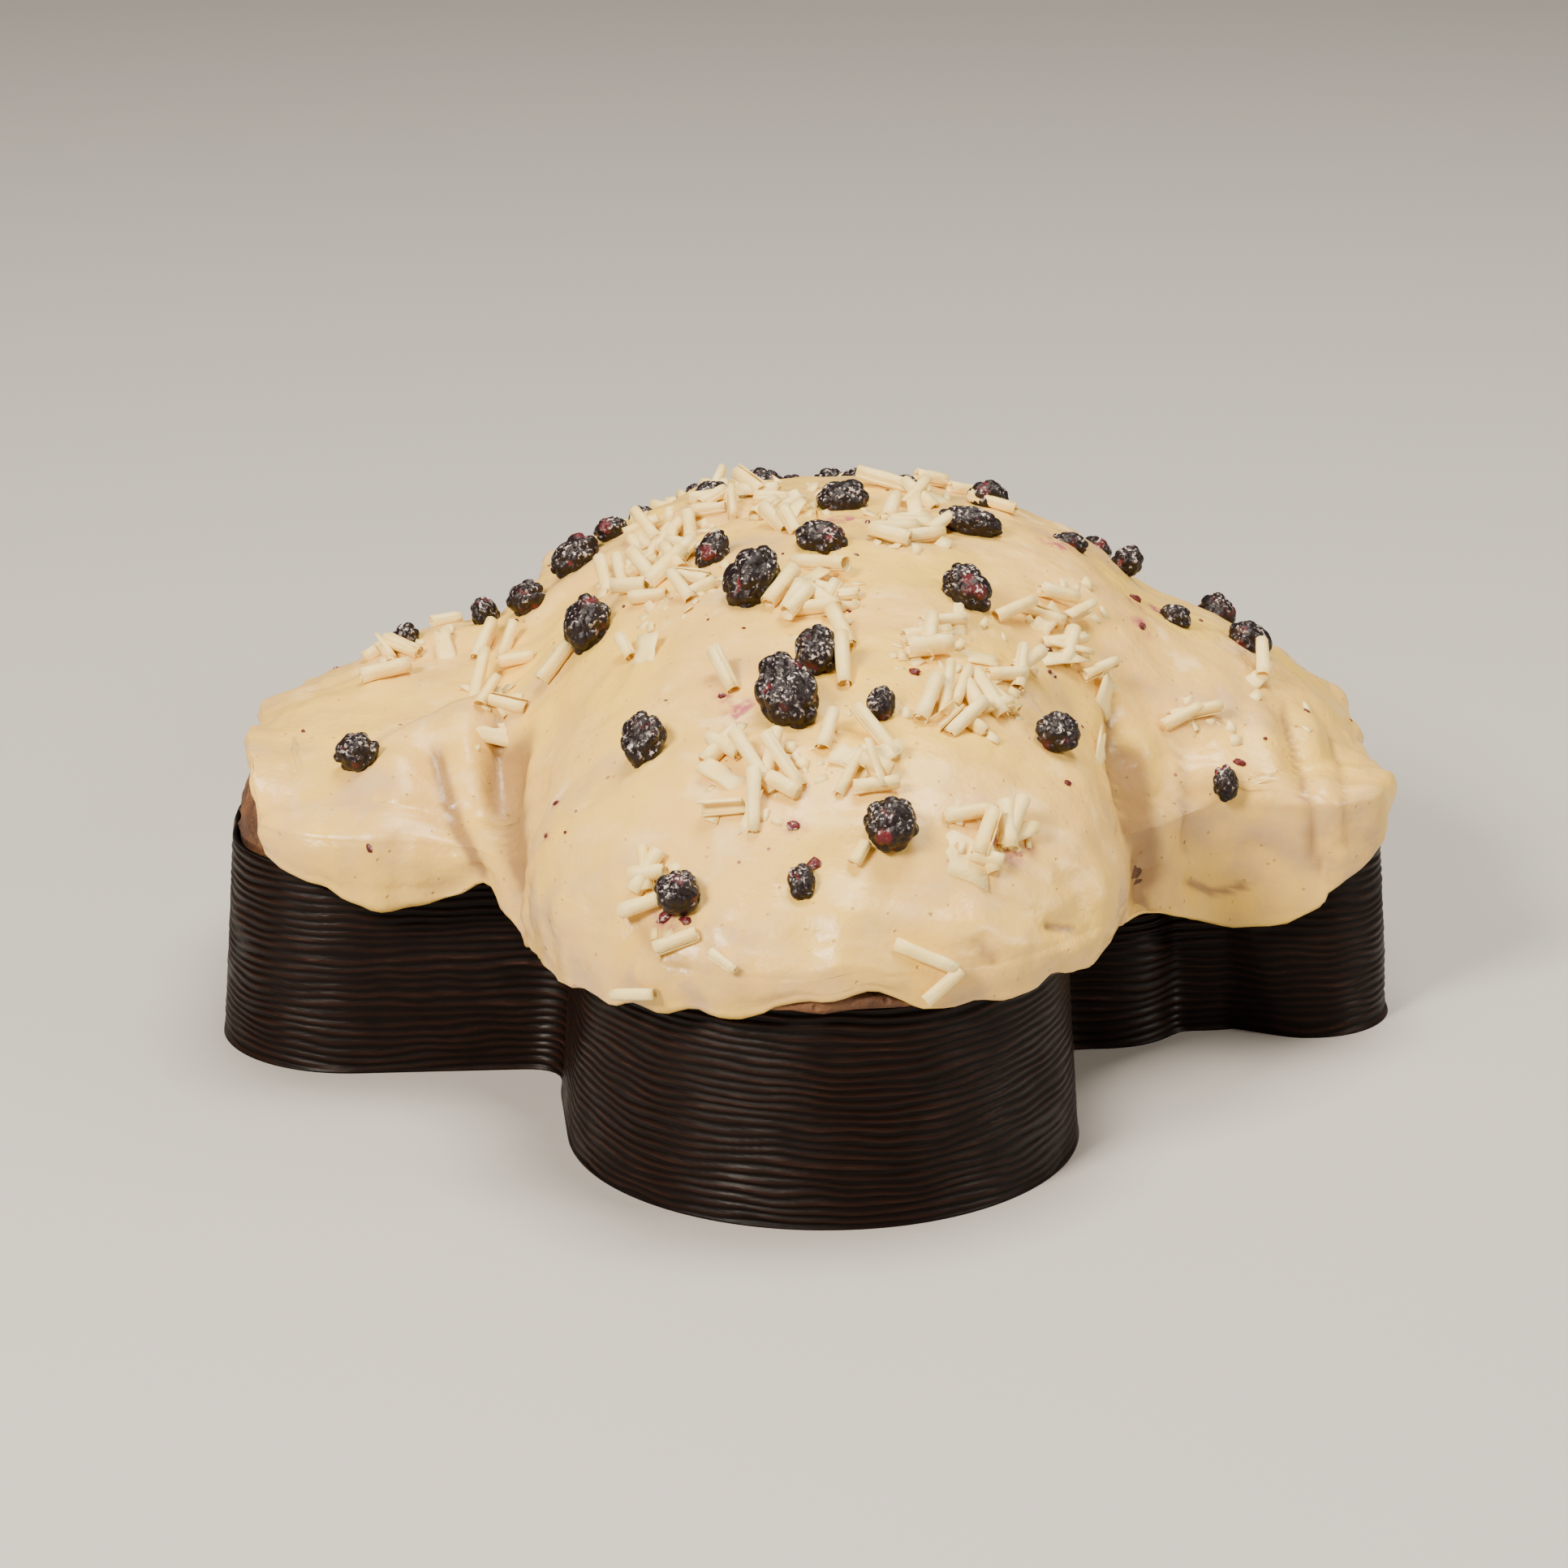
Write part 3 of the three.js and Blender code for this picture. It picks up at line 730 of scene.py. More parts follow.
def lumps(points: np.ndarray, size: float, squash: float = 1.0, seed: float = 0.0) -> np.ndarray:
    """Smooth noise over points, by slopes chosen at random on a cubic lattice.

    Args:
        points: Points, last axis X, Y, Z.
        size: How wide a lump is, in mm.
        squash: How much taller than wide it is.
        seed: Shifts the pattern.

    Returns:
        Values from about -1 to 1.
    """
    places = points / size * np.array([1.0, 1.0, 1.0 / squash]) + seed * 7.31
    cell = np.floor(places).astype(np.int64)
    part = places - cell
    ease = part**3 * (part * (part * 6 - 15) + 10)
    total = np.zeros(points.shape[:-1])
    for corner in itertools.product((0, 1), repeat=3):
        key = (cell + corner) @ np.array([374761393, 668265263, 1274126177])
        slopes = [np.sin((key % 65521) * turn) for turn in (12.9898, 78.233, 37.719)]
        rise = sum(slope * (part[..., axis] - corner[axis]) for axis, slope in enumerate(slopes))
        weight = np.ones_like(total)
        for axis in range(3):
            weight = weight * np.abs(1 - corner[axis] - ease[..., axis])
        total += weight * rise
    return np.clip(total * 1.5, -1, 1)


@dataclass(frozen=True)
class Swell:
    """A layer of uneven relief: its height and width in mm, its pattern, and its stretch."""

    height: float
    size: float
    seed: float
    squash: float = 1.0

    def over(self, points: np.ndarray) -> np.ndarray:
        """The relief of this layer over points."""
        return self.height * lumps(points, self.size, self.squash, self.seed)


def swelling(layers: tuple[Swell, ...], points: np.ndarray) -> np.ndarray:
    """The relief of several layers together, over points."""
    return sum(layer.over(points) for layer in layers)


def pocked(points: np.ndarray, size: float, seed: float, least: float) -> np.ndarray:
    """Scattered pocks: where the noise of a size and pattern rises over a least value."""
    return np.maximum(lumps(points, size, seed=seed) - least, 0)


class Slot(Enum):
    """The record's material slots."""

    BERRY = "berry"
    ICING = "icing"
    CRUMB = "crumb"
    CASE = "case_paper"


def finish_piece(
    name: str,
    shape: bmesh.types.BMesh,
    material: bpy.types.Material,
    nodes: tuple[str, ...],
) -> None:
    """Turns a mesh in millimetres into a finished piece of the cake.

    Args:
        name: The piece's name.
        shape: Its mesh, which is used up.
        material: Its finish.
        nodes: The solids that it stands for.
    """
    bmesh.ops.scale(shape, vec=(MM, MM, MM), verts=shape.verts)
    mesh = bpy.data.meshes.new(name)
    shape.to_mesh(mesh)
    shape.free()
    mesh.polygons.foreach_set("use_smooth", [True] * len(mesh.polygons))
    mesh.materials.append(material)
    piece = bpy.data.objects.new(name, mesh)
    bpy.context.scene.collection.objects.link(piece)
    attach(piece, "root")
    if nodes:
        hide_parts(*nodes)
    LOG.info("%s: %d faces", name, len(mesh.polygons))


def paint(shape: bmesh.types.BMesh, name: str, values: Iterable[float]) -> None:
    """Keeps a value on each point of a mesh, for its material to read."""
    layer = shape.verts.layers.float.new(name)
    for vertex, value in zip(shape.verts, values):
        vertex[layer] = float(value)


def points_of(shape: bmesh.types.BMesh) -> np.ndarray:
    """The points of a mesh."""
    return np.array([vertex.co for vertex in shape.verts])


def placing(place: Vector, along: Vector, across: Vector, upright: Vector) -> Matrix:
    """The matrix that carries the origin to a place and X, Y and Z to three directions."""
    turn = Matrix((along, across, upright)).transposed().to_4x4()
    return Matrix.Translation(place) @ turn


def held_in_box(points: np.ndarray) -> np.ndarray:
    """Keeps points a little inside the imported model's box, in millimetres."""
    low = np.array(CAD_BOX[0]) / MM + BOX_MARGIN
    high = np.array(CAD_BOX[1]) / MM - BOX_MARGIN
    low[2] = 0.0
    return np.clip(points, low, high)


# ---- The photograph's view ----


@dataclass(frozen=True)
class Sight:
    """How the photograph sees the cake: the origin's pixel, and the lens in pixels."""

    elevation: float = 18.5
    turn: float = 3.75
    away: float = 864.0
    focal: float = 5782.0
    image: float = 1932.0
    origin_seen: Pixel = (993.0, 1189.0)
    sensor: float = 36.0
    farthest_seen: float = 20.0

    def axes(self) -> tuple[Vector, Vector, Vector]:
        """The view's right, up and forward directions."""
        tilt = math.radians(self.elevation)
        back = Matrix.Rotation(-math.radians(self.turn), 3, "Z")
        ahead = Vector((0, math.cos(tilt), -math.sin(tilt)))
        right = Vector((1, 0, 0))
        up = right.cross(ahead)
        return back @ right, back @ up, back @ ahead

    def ray(self, pixel: Pixel) -> Vector:
        """The direction in which a pixel looks, one unit deep."""
        right, up, ahead = self.axes()
        across = (pixel[0] - self.image / 2) / self.focal
        rise = (self.image / 2 - pixel[1]) / self.focal
        return ahead + right * across + up * rise

    def slanted(self, slant: float) -> Vector:
        """The direction square on to the view that has a slant, in radians, in the image."""
        right, up, _ = self.axes()
        return right * math.cos(slant) + up * math.sin(slant)

    def eye(self) -> Vector:
        """Where the camera stands, in millimetres."""
        return self.ray(self.origin_seen) * -self.away

    def camera(self) -> None:
        """Makes the camera, which becomes the scene's own."""
        lens = bpy.data.cameras.new("photo_view")
        lens.sensor_width = self.sensor
        lens.lens = self.sensor * self.focal / self.image
        lens.clip_end = self.farthest_seen
        camera = bpy.data.objects.new("photo_view", lens)
        right, up, ahead = self.axes()
        camera.matrix_world = placing(self.eye() * MM, right, up, -ahead)
        bpy.context.scene.collection.objects.link(camera)
        bpy.context.scene.camera = camera


@dataclass
class Surface:
    """A face that toppings are laid on, found by pixel or from above."""

    sight: Sight
    tree: BVHTree
    above: float = 300.0
    clearance: float = 2.0

    def seen(self, pixel: Pixel) -> tuple[Vector, Vector] | None:
        """The place and normal that a pixel of the photograph shows, or None where it misses."""
        return self._hit(self.sight.eye(), self.sight.ray(pixel))

    def under(self, x: float, y: float) -> tuple[Vector, Vector] | None:
        """The place and normal straight under a point in plan, or None outside."""
        return self._hit(Vector((x, y, self.above)), Vector((0, 0, -1)))

    def _hit(self, start: Vector, way: Vector) -> tuple[Vector, Vector] | None:
        """The place and normal that a ray meets first, or None."""
        place, normal, _, _ = self.tree.ray_cast(start, way)
        return None if place is None else (place, normal)

    def hidden(self, place: Vector) -> bool:
        """Whether something stands between the camera and a place."""
        eye = self.sight.eye()
        short_of = (place - eye).length - self.clearance
        return self.tree.ray_cast(eye, place - eye, short_of)[0] is not None


# ---- Icing ----


@dataclass(frozen=True)
class Furrow:
    """A line across the icing, by the pixels it runs through: a crease, or a ridge if negative."""

    pixels: tuple[Pixel, ...]
    depth: float
    width: float
    pitch: float = 14.0

    def steps(self) -> list[Pixel]:
        """Pixels along the line, about a pitch apart, with both ends."""
        found = [self.pixels[0]]
        for start, end in zip(self.pixels, self.pixels[1:]):
            count = max(1, round(math.dist(start, end) / self.pitch))
            for index in range(1, count + 1):
                share = index / count
                found.append(tuple(a + (b - a) * share for a, b in zip(start, end)))
        return found


@dataclass
class Icing:
    """The poured icing: a closed skin over the dome, hanging over the rim in soft drips."""

    plan: CakePlan
    sight: Sight
    columns: int = 460
    dome_rings: int = 112
    skirt_rings: int = 24
    lip_rings: int = 8
    thickness: float = 9.0
    side: float = 7.8
    calm_rings: int = 10
    undercut: float = 1.1
    drip_flare: float = 0.7
    belly: float = 0.7
    crease_shade_share: float = 0.45
    shoulder_share: float = 0.28
    longest_step: float = 8.0
    least_out: float = 0.8
    rim_clearance: float = 0.9
    least_skirt: float = 3.5
    edge_waves: tuple[Swell, ...] = (Swell(1.7, 11, 3.1), Swell(1.1, 4.5, 8.2), Swell(0.4, 2, 4.4))
    swells: tuple[Swell, ...] = (
        Swell(1.5, 36, 1), Swell(1.15, 16, 2), Swell(0.5, 7, 4), Swell(0.2, 3, 6),
        Swell(0.07, 1.4, 8),
    )
    drips: tuple[Swell, ...] = (Swell(1.1, 8, 9, 5), Swell(0.5, 4, 11, 3))
    drape: Swell = Swell(1.0, 11, 19, 6)
    furrows: tuple[Furrow, ...] = (
        Furrow(((530, 900), (552, 985), (575, 1045), (590, 1087)), 3.2, 3.2),
        Furrow(((612, 850), (612, 965), (628, 1080), (648, 1172)), 4.4, 3.2),
        Furrow(((640, 880), (620, 960), (640, 1120)), 2.4, 9.0),
        Furrow(((580, 840), (588, 960), (605, 1080)), -1.8, 4.0),
        Furrow(((690, 900), (680, 1010), (705, 1150)), -1.8, 9.0),
        Furrow(((1370, 850), (1385, 950), (1405, 1050), (1424, 1130)), 3.8, 3.4),
        Furrow(((1390, 900), (1410, 1000), (1425, 1110)), 2.4, 9.0),
        Furrow(((1330, 900), (1340, 1000), (1350, 1090)), -1.4, 8.0),
        Furrow(((1585, 840), (1610, 1000), (1625, 1080)), 1.6, 2.4),
        Furrow(((1548, 850), (1570, 960), (1580, 1040)), -1.4, 3.4),
        Furrow(((1640, 880), (1652, 960), (1658, 1050)), 1.1, 2.2),
        Furrow(((1450, 900), (1462, 1000), (1470, 1060)), 1.2, 2.8),
        Furrow(((1500, 930), (1508, 1000), (1512, 1050)), -1.4, 5.0),
        Furrow(((1462, 1085), (1500, 1104), (1545, 1088)), 1.9, 1.9),
        Furrow(((1480, 1052), (1530, 1052)), -1.6, 4.0),
        Furrow(((1290, 1138), (1330, 1146)), 1.8, 2.0),
        Furrow(((1340, 1105), (1372, 1118)), -1.8, 3.4),
        Furrow(((880, 1205), (930, 1180), (985, 1200)), -1.5, 4.0),
        Furrow(((1000, 1150), (1080, 1130), (1180, 1160)), -0.9, 6.0),
        Furrow(((1245, 1165), (1300, 1160), (1370, 1165)), -1.4, 4.5),
        Furrow(((1200, 1150), (1230, 1190)), 1.2, 3.0),
        Furrow(((770, 1120), (800, 1160), (850, 1200)), 1.0, 4.0),
        Furrow(((320, 950), (345, 1010), (395, 1070)), -1.0, 5.0),
        Furrow(((450, 990), (500, 1040), (505, 1090)), -1.1, 6.0),
    )
    stains: tuple[tuple[float, float, float], ...] = (
        (912, 873, 2.6), (905, 890, 1.6), (1232, 1030, 2.4), (1252, 1045, 2.6), (825, 1128, 2.4),
        (1398, 745, 2.2), (1407, 772, 1.8), (1425, 752, 2.2), (976, 1017, 1.4), (1040, 640, 3.0),
        (1300, 668, 3.0), (1330, 672, 2.4), (685, 990, 0.9), (673, 1030, 0.9), (890, 858, 1.4),
    )

    def skin(self) -> tuple[np.ndarray, np.ndarray, np.ndarray]:
        """The skin before its relief.

        Returns:
            The rings, how much each point takes the relief, and how near it is to the edge.
        """
        plan = self.plan
        angles = plan.directions(self.columns)
        out, edge = plan.skirt(angles)
        out = ringwise(out, 2)
        level = plan.around(angles, plan.reach(angles, 0.0, plan.dome_neck), 0.0)
        edge = edge + swelling(self.edge_waves, level) - pocked(level, 6.5, 5.5, 0.4) * 4.0
        short = out < self.least_out
        edge = np.where(short, np.maximum(edge, plan.rim_height + self.rim_clearance), edge)
        edge = ringwise(edge, 2)
        top = np.maximum(plan.widest, edge + self.least_skirt)
        lift = top - plan.widest

        def reach(inset: float) -> np.ndarray:
            """The outline with the skirt's stand-out, set in."""
            return ringwise(plan.reach(angles, out - inset, plan.dome_neck), 6)

        def dome(share: float, radius: np.ndarray, sink: float) -> np.ndarray:
            """One ring of the dome, at a share of its radius and sunk."""
            points = plan.around(angles, share * radius, 0.0)
            rise = np.maximum(plan.rise(points[:, 0], points[:, 1]), plan.least_rise)
            rise = np.maximum(rise - lift, 2.0) - sink
            points[:, 2] = plan.widest + lift * share**4 + rise * plan.shoulder(share)
            return points

        rings, relief, low = [], [], []
        widest = reach(0.0)
        for index in range(1, self.dome_rings + 1):
            share = math.sin(index / self.dome_rings * math.pi / 2)
            rings.append(dome(share, widest, 0.0))
            relief.append(min(1.0, index / self.calm_rings))
            low.append(max(0.0, share * 5 - 4))
        lip = 1.0 + 0.5 * lumps(level, 8.0, seed=15.0)
        for index in range(1, self.skirt_rings + 1):
            share = index / self.skirt_rings
            height = top + (edge + lip - top) * share
            tuck = self.undercut * share**1.5 - self.drip_flare * share**6
            tuck -= self.belly * math.sin(math.pi * share)
            rings.append(plan.around(angles, widest - tuck, height))
            relief.append(1.0)
            low.append(1.0)
        foot = widest - 0.4
        for index in range(1, self.lip_rings + 1):
            turn = index / self.lip_rings * math.pi
            inward = lip * (1 - math.cos(turn))
            rings.append(plan.around(angles, foot - inward, edge + lip - lip * math.sin(turn)))
            relief.append(1.0 - 0.8 * index / self.lip_rings)
            low.append(1.0)
        inner = reach(self.side)
        rings.append(plan.around(angles, np.minimum(inner, foot - 2 * lip), (top + edge) / 2 + 1))
        rings.append(plan.around(angles, inner, top))
        relief += [0.0, 0.0]
        low += [1.0, 1.0]
        for share in (0.9, 0.75, 0.5, 0.25):
            rings.append(dome(share, inner, self.thickness))
            relief.append(0.0)
            low.append(0.0)
        weights = np.repeat(np.array(relief)[:, None], self.columns, axis=1)
        near = np.repeat(np.array(low)[:, None], self.columns, axis=1)
        return np.array(rings), weights, near

    def _line_relief(self, rings: np.ndarray, base: Surface) -> tuple[np.ndarray, np.ndarray]:
        """Creases and ridges, and the shade painted into the creases.

        Args:
            rings: The skin's points.
            base: The skin as a surface.

        Returns:
            Heights, and how much painted crease shade each point takes, from 0 to 1.
        """
        height = np.zeros(rings.shape[:2])
        crease_shade = np.zeros(rings.shape[:2])
        for furrow in self.furrows:
            found = [base.seen(pixel) for pixel in furrow.steps()]
            line = np.array([place for place, _ in filter(None, found)])
            if len(line) < 2:
                continue
            nearest = np.full(rings.shape[:2], 1e9)
            along = np.zeros(rings.shape[:2])
            for index in range(len(line) - 1):
                start, step = line[index], line[index + 1] - line[index]
                if np.linalg.norm(step) > self.longest_step:
                    continue
                share = np.clip(((rings - start) @ step) / (step @ step), 0, 1)
                gap = np.linalg.norm(rings - start - share[..., None] * step, axis=2)
                closer = gap < nearest
                nearest = np.where(closer, gap, nearest)
                along = np.where(closer, (index + share) / (len(line) - 1), along)
            ends = smooth_share(along * 6) * smooth_share((1 - along) * 9 + 0.35)
            shape = np.exp(-((nearest / furrow.width) ** 1.4))
            height -= furrow.depth * shape * ends
            if furrow.depth > 0:
                shoulder = np.exp(-(((nearest - 2.1 * furrow.width) / furrow.width) ** 2))
                height += self.shoulder_share * furrow.depth * shoulder * ends
                # The core of each crease is marked for the icing's painted shade.
                sharp = np.exp(-((nearest / (self.crease_shade_share * furrow.width)) ** 2))
                crease_shade = np.maximum(crease_shade, sharp * ends * min(1.0, furrow.depth / 2.4))
        return height, crease_shade

    def build(self, finish: bpy.types.Material) -> Surface:
        """Makes the icing.

        Args:
            finish: Its material.

        Returns:
            Its outer face, for the toppings.
        """
        rings, weights, near = self.skin()
        crown = self.plan.widest + float(self.plan.rise(*map(np.array, self.plan.axis)))
        top = np.array([*self.plan.axis, crown])
        end = top - np.array([0, 0, self.thickness])
        base = Surface(self.sight, ring_tree(rings))

        height, crease_shade = self._line_relief(rings, base)
        height *= 1 - 0.55 * near
        slope = smooth_share(np.linspace(-1.6, 1.4, len(rings)))[:, None]
        height += swelling(self.swells, rings) - 0.5 * pocked(rings, 3.4, 17.0, 0.45)
        drapes = (1 - near) * slope * self.drape.over(rings)
        height += near * swelling(self.drips, rings) + drapes
        rings = held_in_box(rings + ring_normals(rings) * (height * weights)[..., None])
        surface = Surface(self.sight, ring_tree(rings))

        juice = np.zeros(rings.shape[:2])
        for column, row, size in self.stains:
            hit = surface.seen((column, row))
            if hit:
                gap = np.linalg.norm(rings - np.array(hit[0]), axis=2)
                juice = np.maximum(juice, smooth_share(1.6 - gap / size))
        thin = smooth_share(near * 1.2 - 0.2) * 0.45
        thin += smooth_share(lumps(rings, 20.0, seed=13.0) * 2.4) * 0.8
        # The crease mark goes to the material as painted shade.
        fields = {"crease_shade": crease_shade, "juice": juice, "thin": np.clip(thin, 0, 1)}
        shape = moulded_shell(top, rings, end, fields)
        finish_piece("icing_pour", shape, finish, ("icing",))
        return surface


# ---- Crust and case ----


@dataclass
class Crust:
    """The risen cake: browned above the rim, and filling the case below it."""

    plan: CakePlan
    columns: int = 320
    inset: float = 1.5
    recess: float = 6.5
    dome_rings: int = 14
    side_rings: int = 22
    brow_over_edge: float = 2.0
    foot_over_rim: float = 1.2
    floor: float = 1.6
    crown: float = 78.0
    knobs: tuple[Swell, ...] = (Swell(0.7, 6, 21), Swell(0.4, 2.2, 23))

    def build(self, finish: bpy.types.Material) -> None:
        """Makes the cake.

        Args:
            finish: Its material.
        """
        plan = self.plan
        angles = plan.directions(self.columns)
        out, edge = plan.skirt(angles)
        shown = ringwise(plan.reach(angles, out - self.inset, plan.dome_neck), 4)
        footed = plan.reach(angles, np.maximum(out, -2.6) - self.inset, plan.dome_neck)
        tucked = ringwise(plan.reach(angles, out - self.recess, plan.dome_neck), 4)
        waist = ringwise(plan.reach(angles, -plan.case_lean - 1.7, plan.case_neck), 2)
        brow = edge + self.brow_over_edge
        rings, weights = [], []
        for index in range(1, self.dome_rings + 1):
            share = math.sin(index / self.dome_rings * math.pi / 2)
            points = plan.around(angles, share * tucked, 0.0)
            lift = np.maximum(brow - plan.widest, 0)
            rise = plan.rise(points[:, 0], points[:, 1]) - lift - self.recess - 1.5
            level = plan.widest + (brow - plan.widest) * share**6
            points[:, 2] = level + np.maximum(rise, -4.0) * plan.shoulder(share)
            rings.append(points)
            weights.append(0.0)
        foot = plan.rim_height + self.foot_over_rim
        for index in range(1, self.side_rings + 1):
            share = index / self.side_rings
            height = brow + (foot - brow) * share
            bulge = shown + (tucked - shown) * (1 - share) ** 3
            bulge = bulge + (footed - shown) * share**0.7 - 0.5 * share**4
            rings.append(plan.around(angles, bulge, height))
            weights.append(min(1.0, share * 3))
        rings.append(plan.around(angles, (footed + waist) / 2, foot - 0.5))
        for height in (plan.rim_height + 0.5, 20.0, 2.0):
            rings.append(plan.around(angles, waist, height))
        rings.append(plan.around(angles, waist * 0.5, self.floor))
        weights += [1.0, 0.3, 0.0, 0.0, 0.0]
        stack = np.array(rings)
        bumps = swelling(self.knobs, stack) - 1.2 * pocked(stack, 4.0, 27.0, 0.35)
        weight = np.array(weights)[:, None]
        stack = held_in_box(stack + ring_normals(stack) * (bumps * weight)[..., None])
        middle = np.array([*plan.axis, self.floor])
        crown = np.array([*plan.axis, self.crown])
        shape = moulded_shell(crown, stack, middle)
        finish_piece("cake_crust", shape, finish, ("cake",))


@dataclass
class PaperCase:
    """The baking case: one thin wall with fine level flutes that wander and fork."""

    plan: CakePlan
    columns: int = 540
    flutes: int = 24
    rows_per_flute: int = 6
    flute_depth: float = 0.55
    foot_rows: int = 3
    paper: float = 0.5
    inner_foot: float = 1.6
    wander: tuple[Swell, ...] = (Swell(0.9, 34, 33, 0.7), Swell(0.45, 10, 35, 0.45))
    dents: Swell = Swell(0.5, 24, 39, 2)

    def build(self, finish: bpy.types.Material) -> None:
        """Makes the case.

        Args:
            finish: Its material.
        """
        plan = self.plan
        angles = plan.directions(self.columns)
        foot = ringwise(plan.reach(angles, 0.0, plan.case_neck), 2)
        rim = ringwise(plan.reach(angles, -plan.case_lean, plan.case_neck), 2)
        floor_line = plan.around(angles, foot, 0.0)
        rim_wave = 0.3 * lumps(floor_line, 22.0, seed=31.0) - 0.35
        rows = self.flutes * self.rows_per_flute
        pitch = plan.rim_height / self.flutes
        outside, crests = [], []
        for row in range(rows, -1, -1):
            share = row / rows
            wall = foot + (rim - foot) * share
            height = (plan.rim_height + rim_wave) * share
            level = plan.around(angles, wall, height)
            wander = height / pitch + swelling(self.wander, level)
            crest = 0.5 + 0.5 * np.cos(2 * math.pi * wander)
            crest = crest**0.8 * (0.7 + 0.3 * lumps(level, 6.0, squash=0.5, seed=37.0))
            dent = np.abs(self.dents.over(level))
            inward = (self.flute_depth * (1 - crest) + dent) * min(1.0, row / self.foot_rows)
            outside.append(plan.around(angles, wall - inward, height))
            crests.append(crest)
        outside = np.array(outside)
        thin = self.paper
        inner = foot - self.inner_foot
        top = outside[0]
        radius = np.hypot(top[:, 0] - plan.axis[0], top[:, 1] - plan.axis[1])
        lip = plan.around(angles, radius - thin, top[:, 2])
        mid = plan.around(angles, (radius - thin + inner) / 2 - 0.3, plan.rim_height / 2)
        floor = [plan.around(angles, inner * share, thin) for share in (0.35, 0.7, 1.0)]
        under = [plan.around(angles, foot * share, 0.0) for share in (0.7, 0.35)]
        stack = np.concatenate([[*floor, mid, lip], outside, under])
        inside_crest = np.full((len(floor) + 2, self.columns), 0.2)
        # The crest values steer the paper's painted shade in the hollows and painted glints on the
        # crests.
        crest = np.concatenate([inside_crest, crests, np.zeros((len(under), self.columns))])
        middle = np.array([*plan.axis, thin])
        bottom = np.array([*plan.axis, 0.0])
        shape = moulded_shell(middle, held_in_box(stack), bottom, {"crest": crest})
        finish_piece("case_wall", shape, finish, ("paper_case",))


# ---- Toppings ----


@dataclass(frozen=True)
class BerrySpot:
    """A berry as the photograph shows it: pixel, size seen in mm, and the slant of its length."""

    column: float
    row: float
    long: float
    wide: float
    slant: float = 0.0


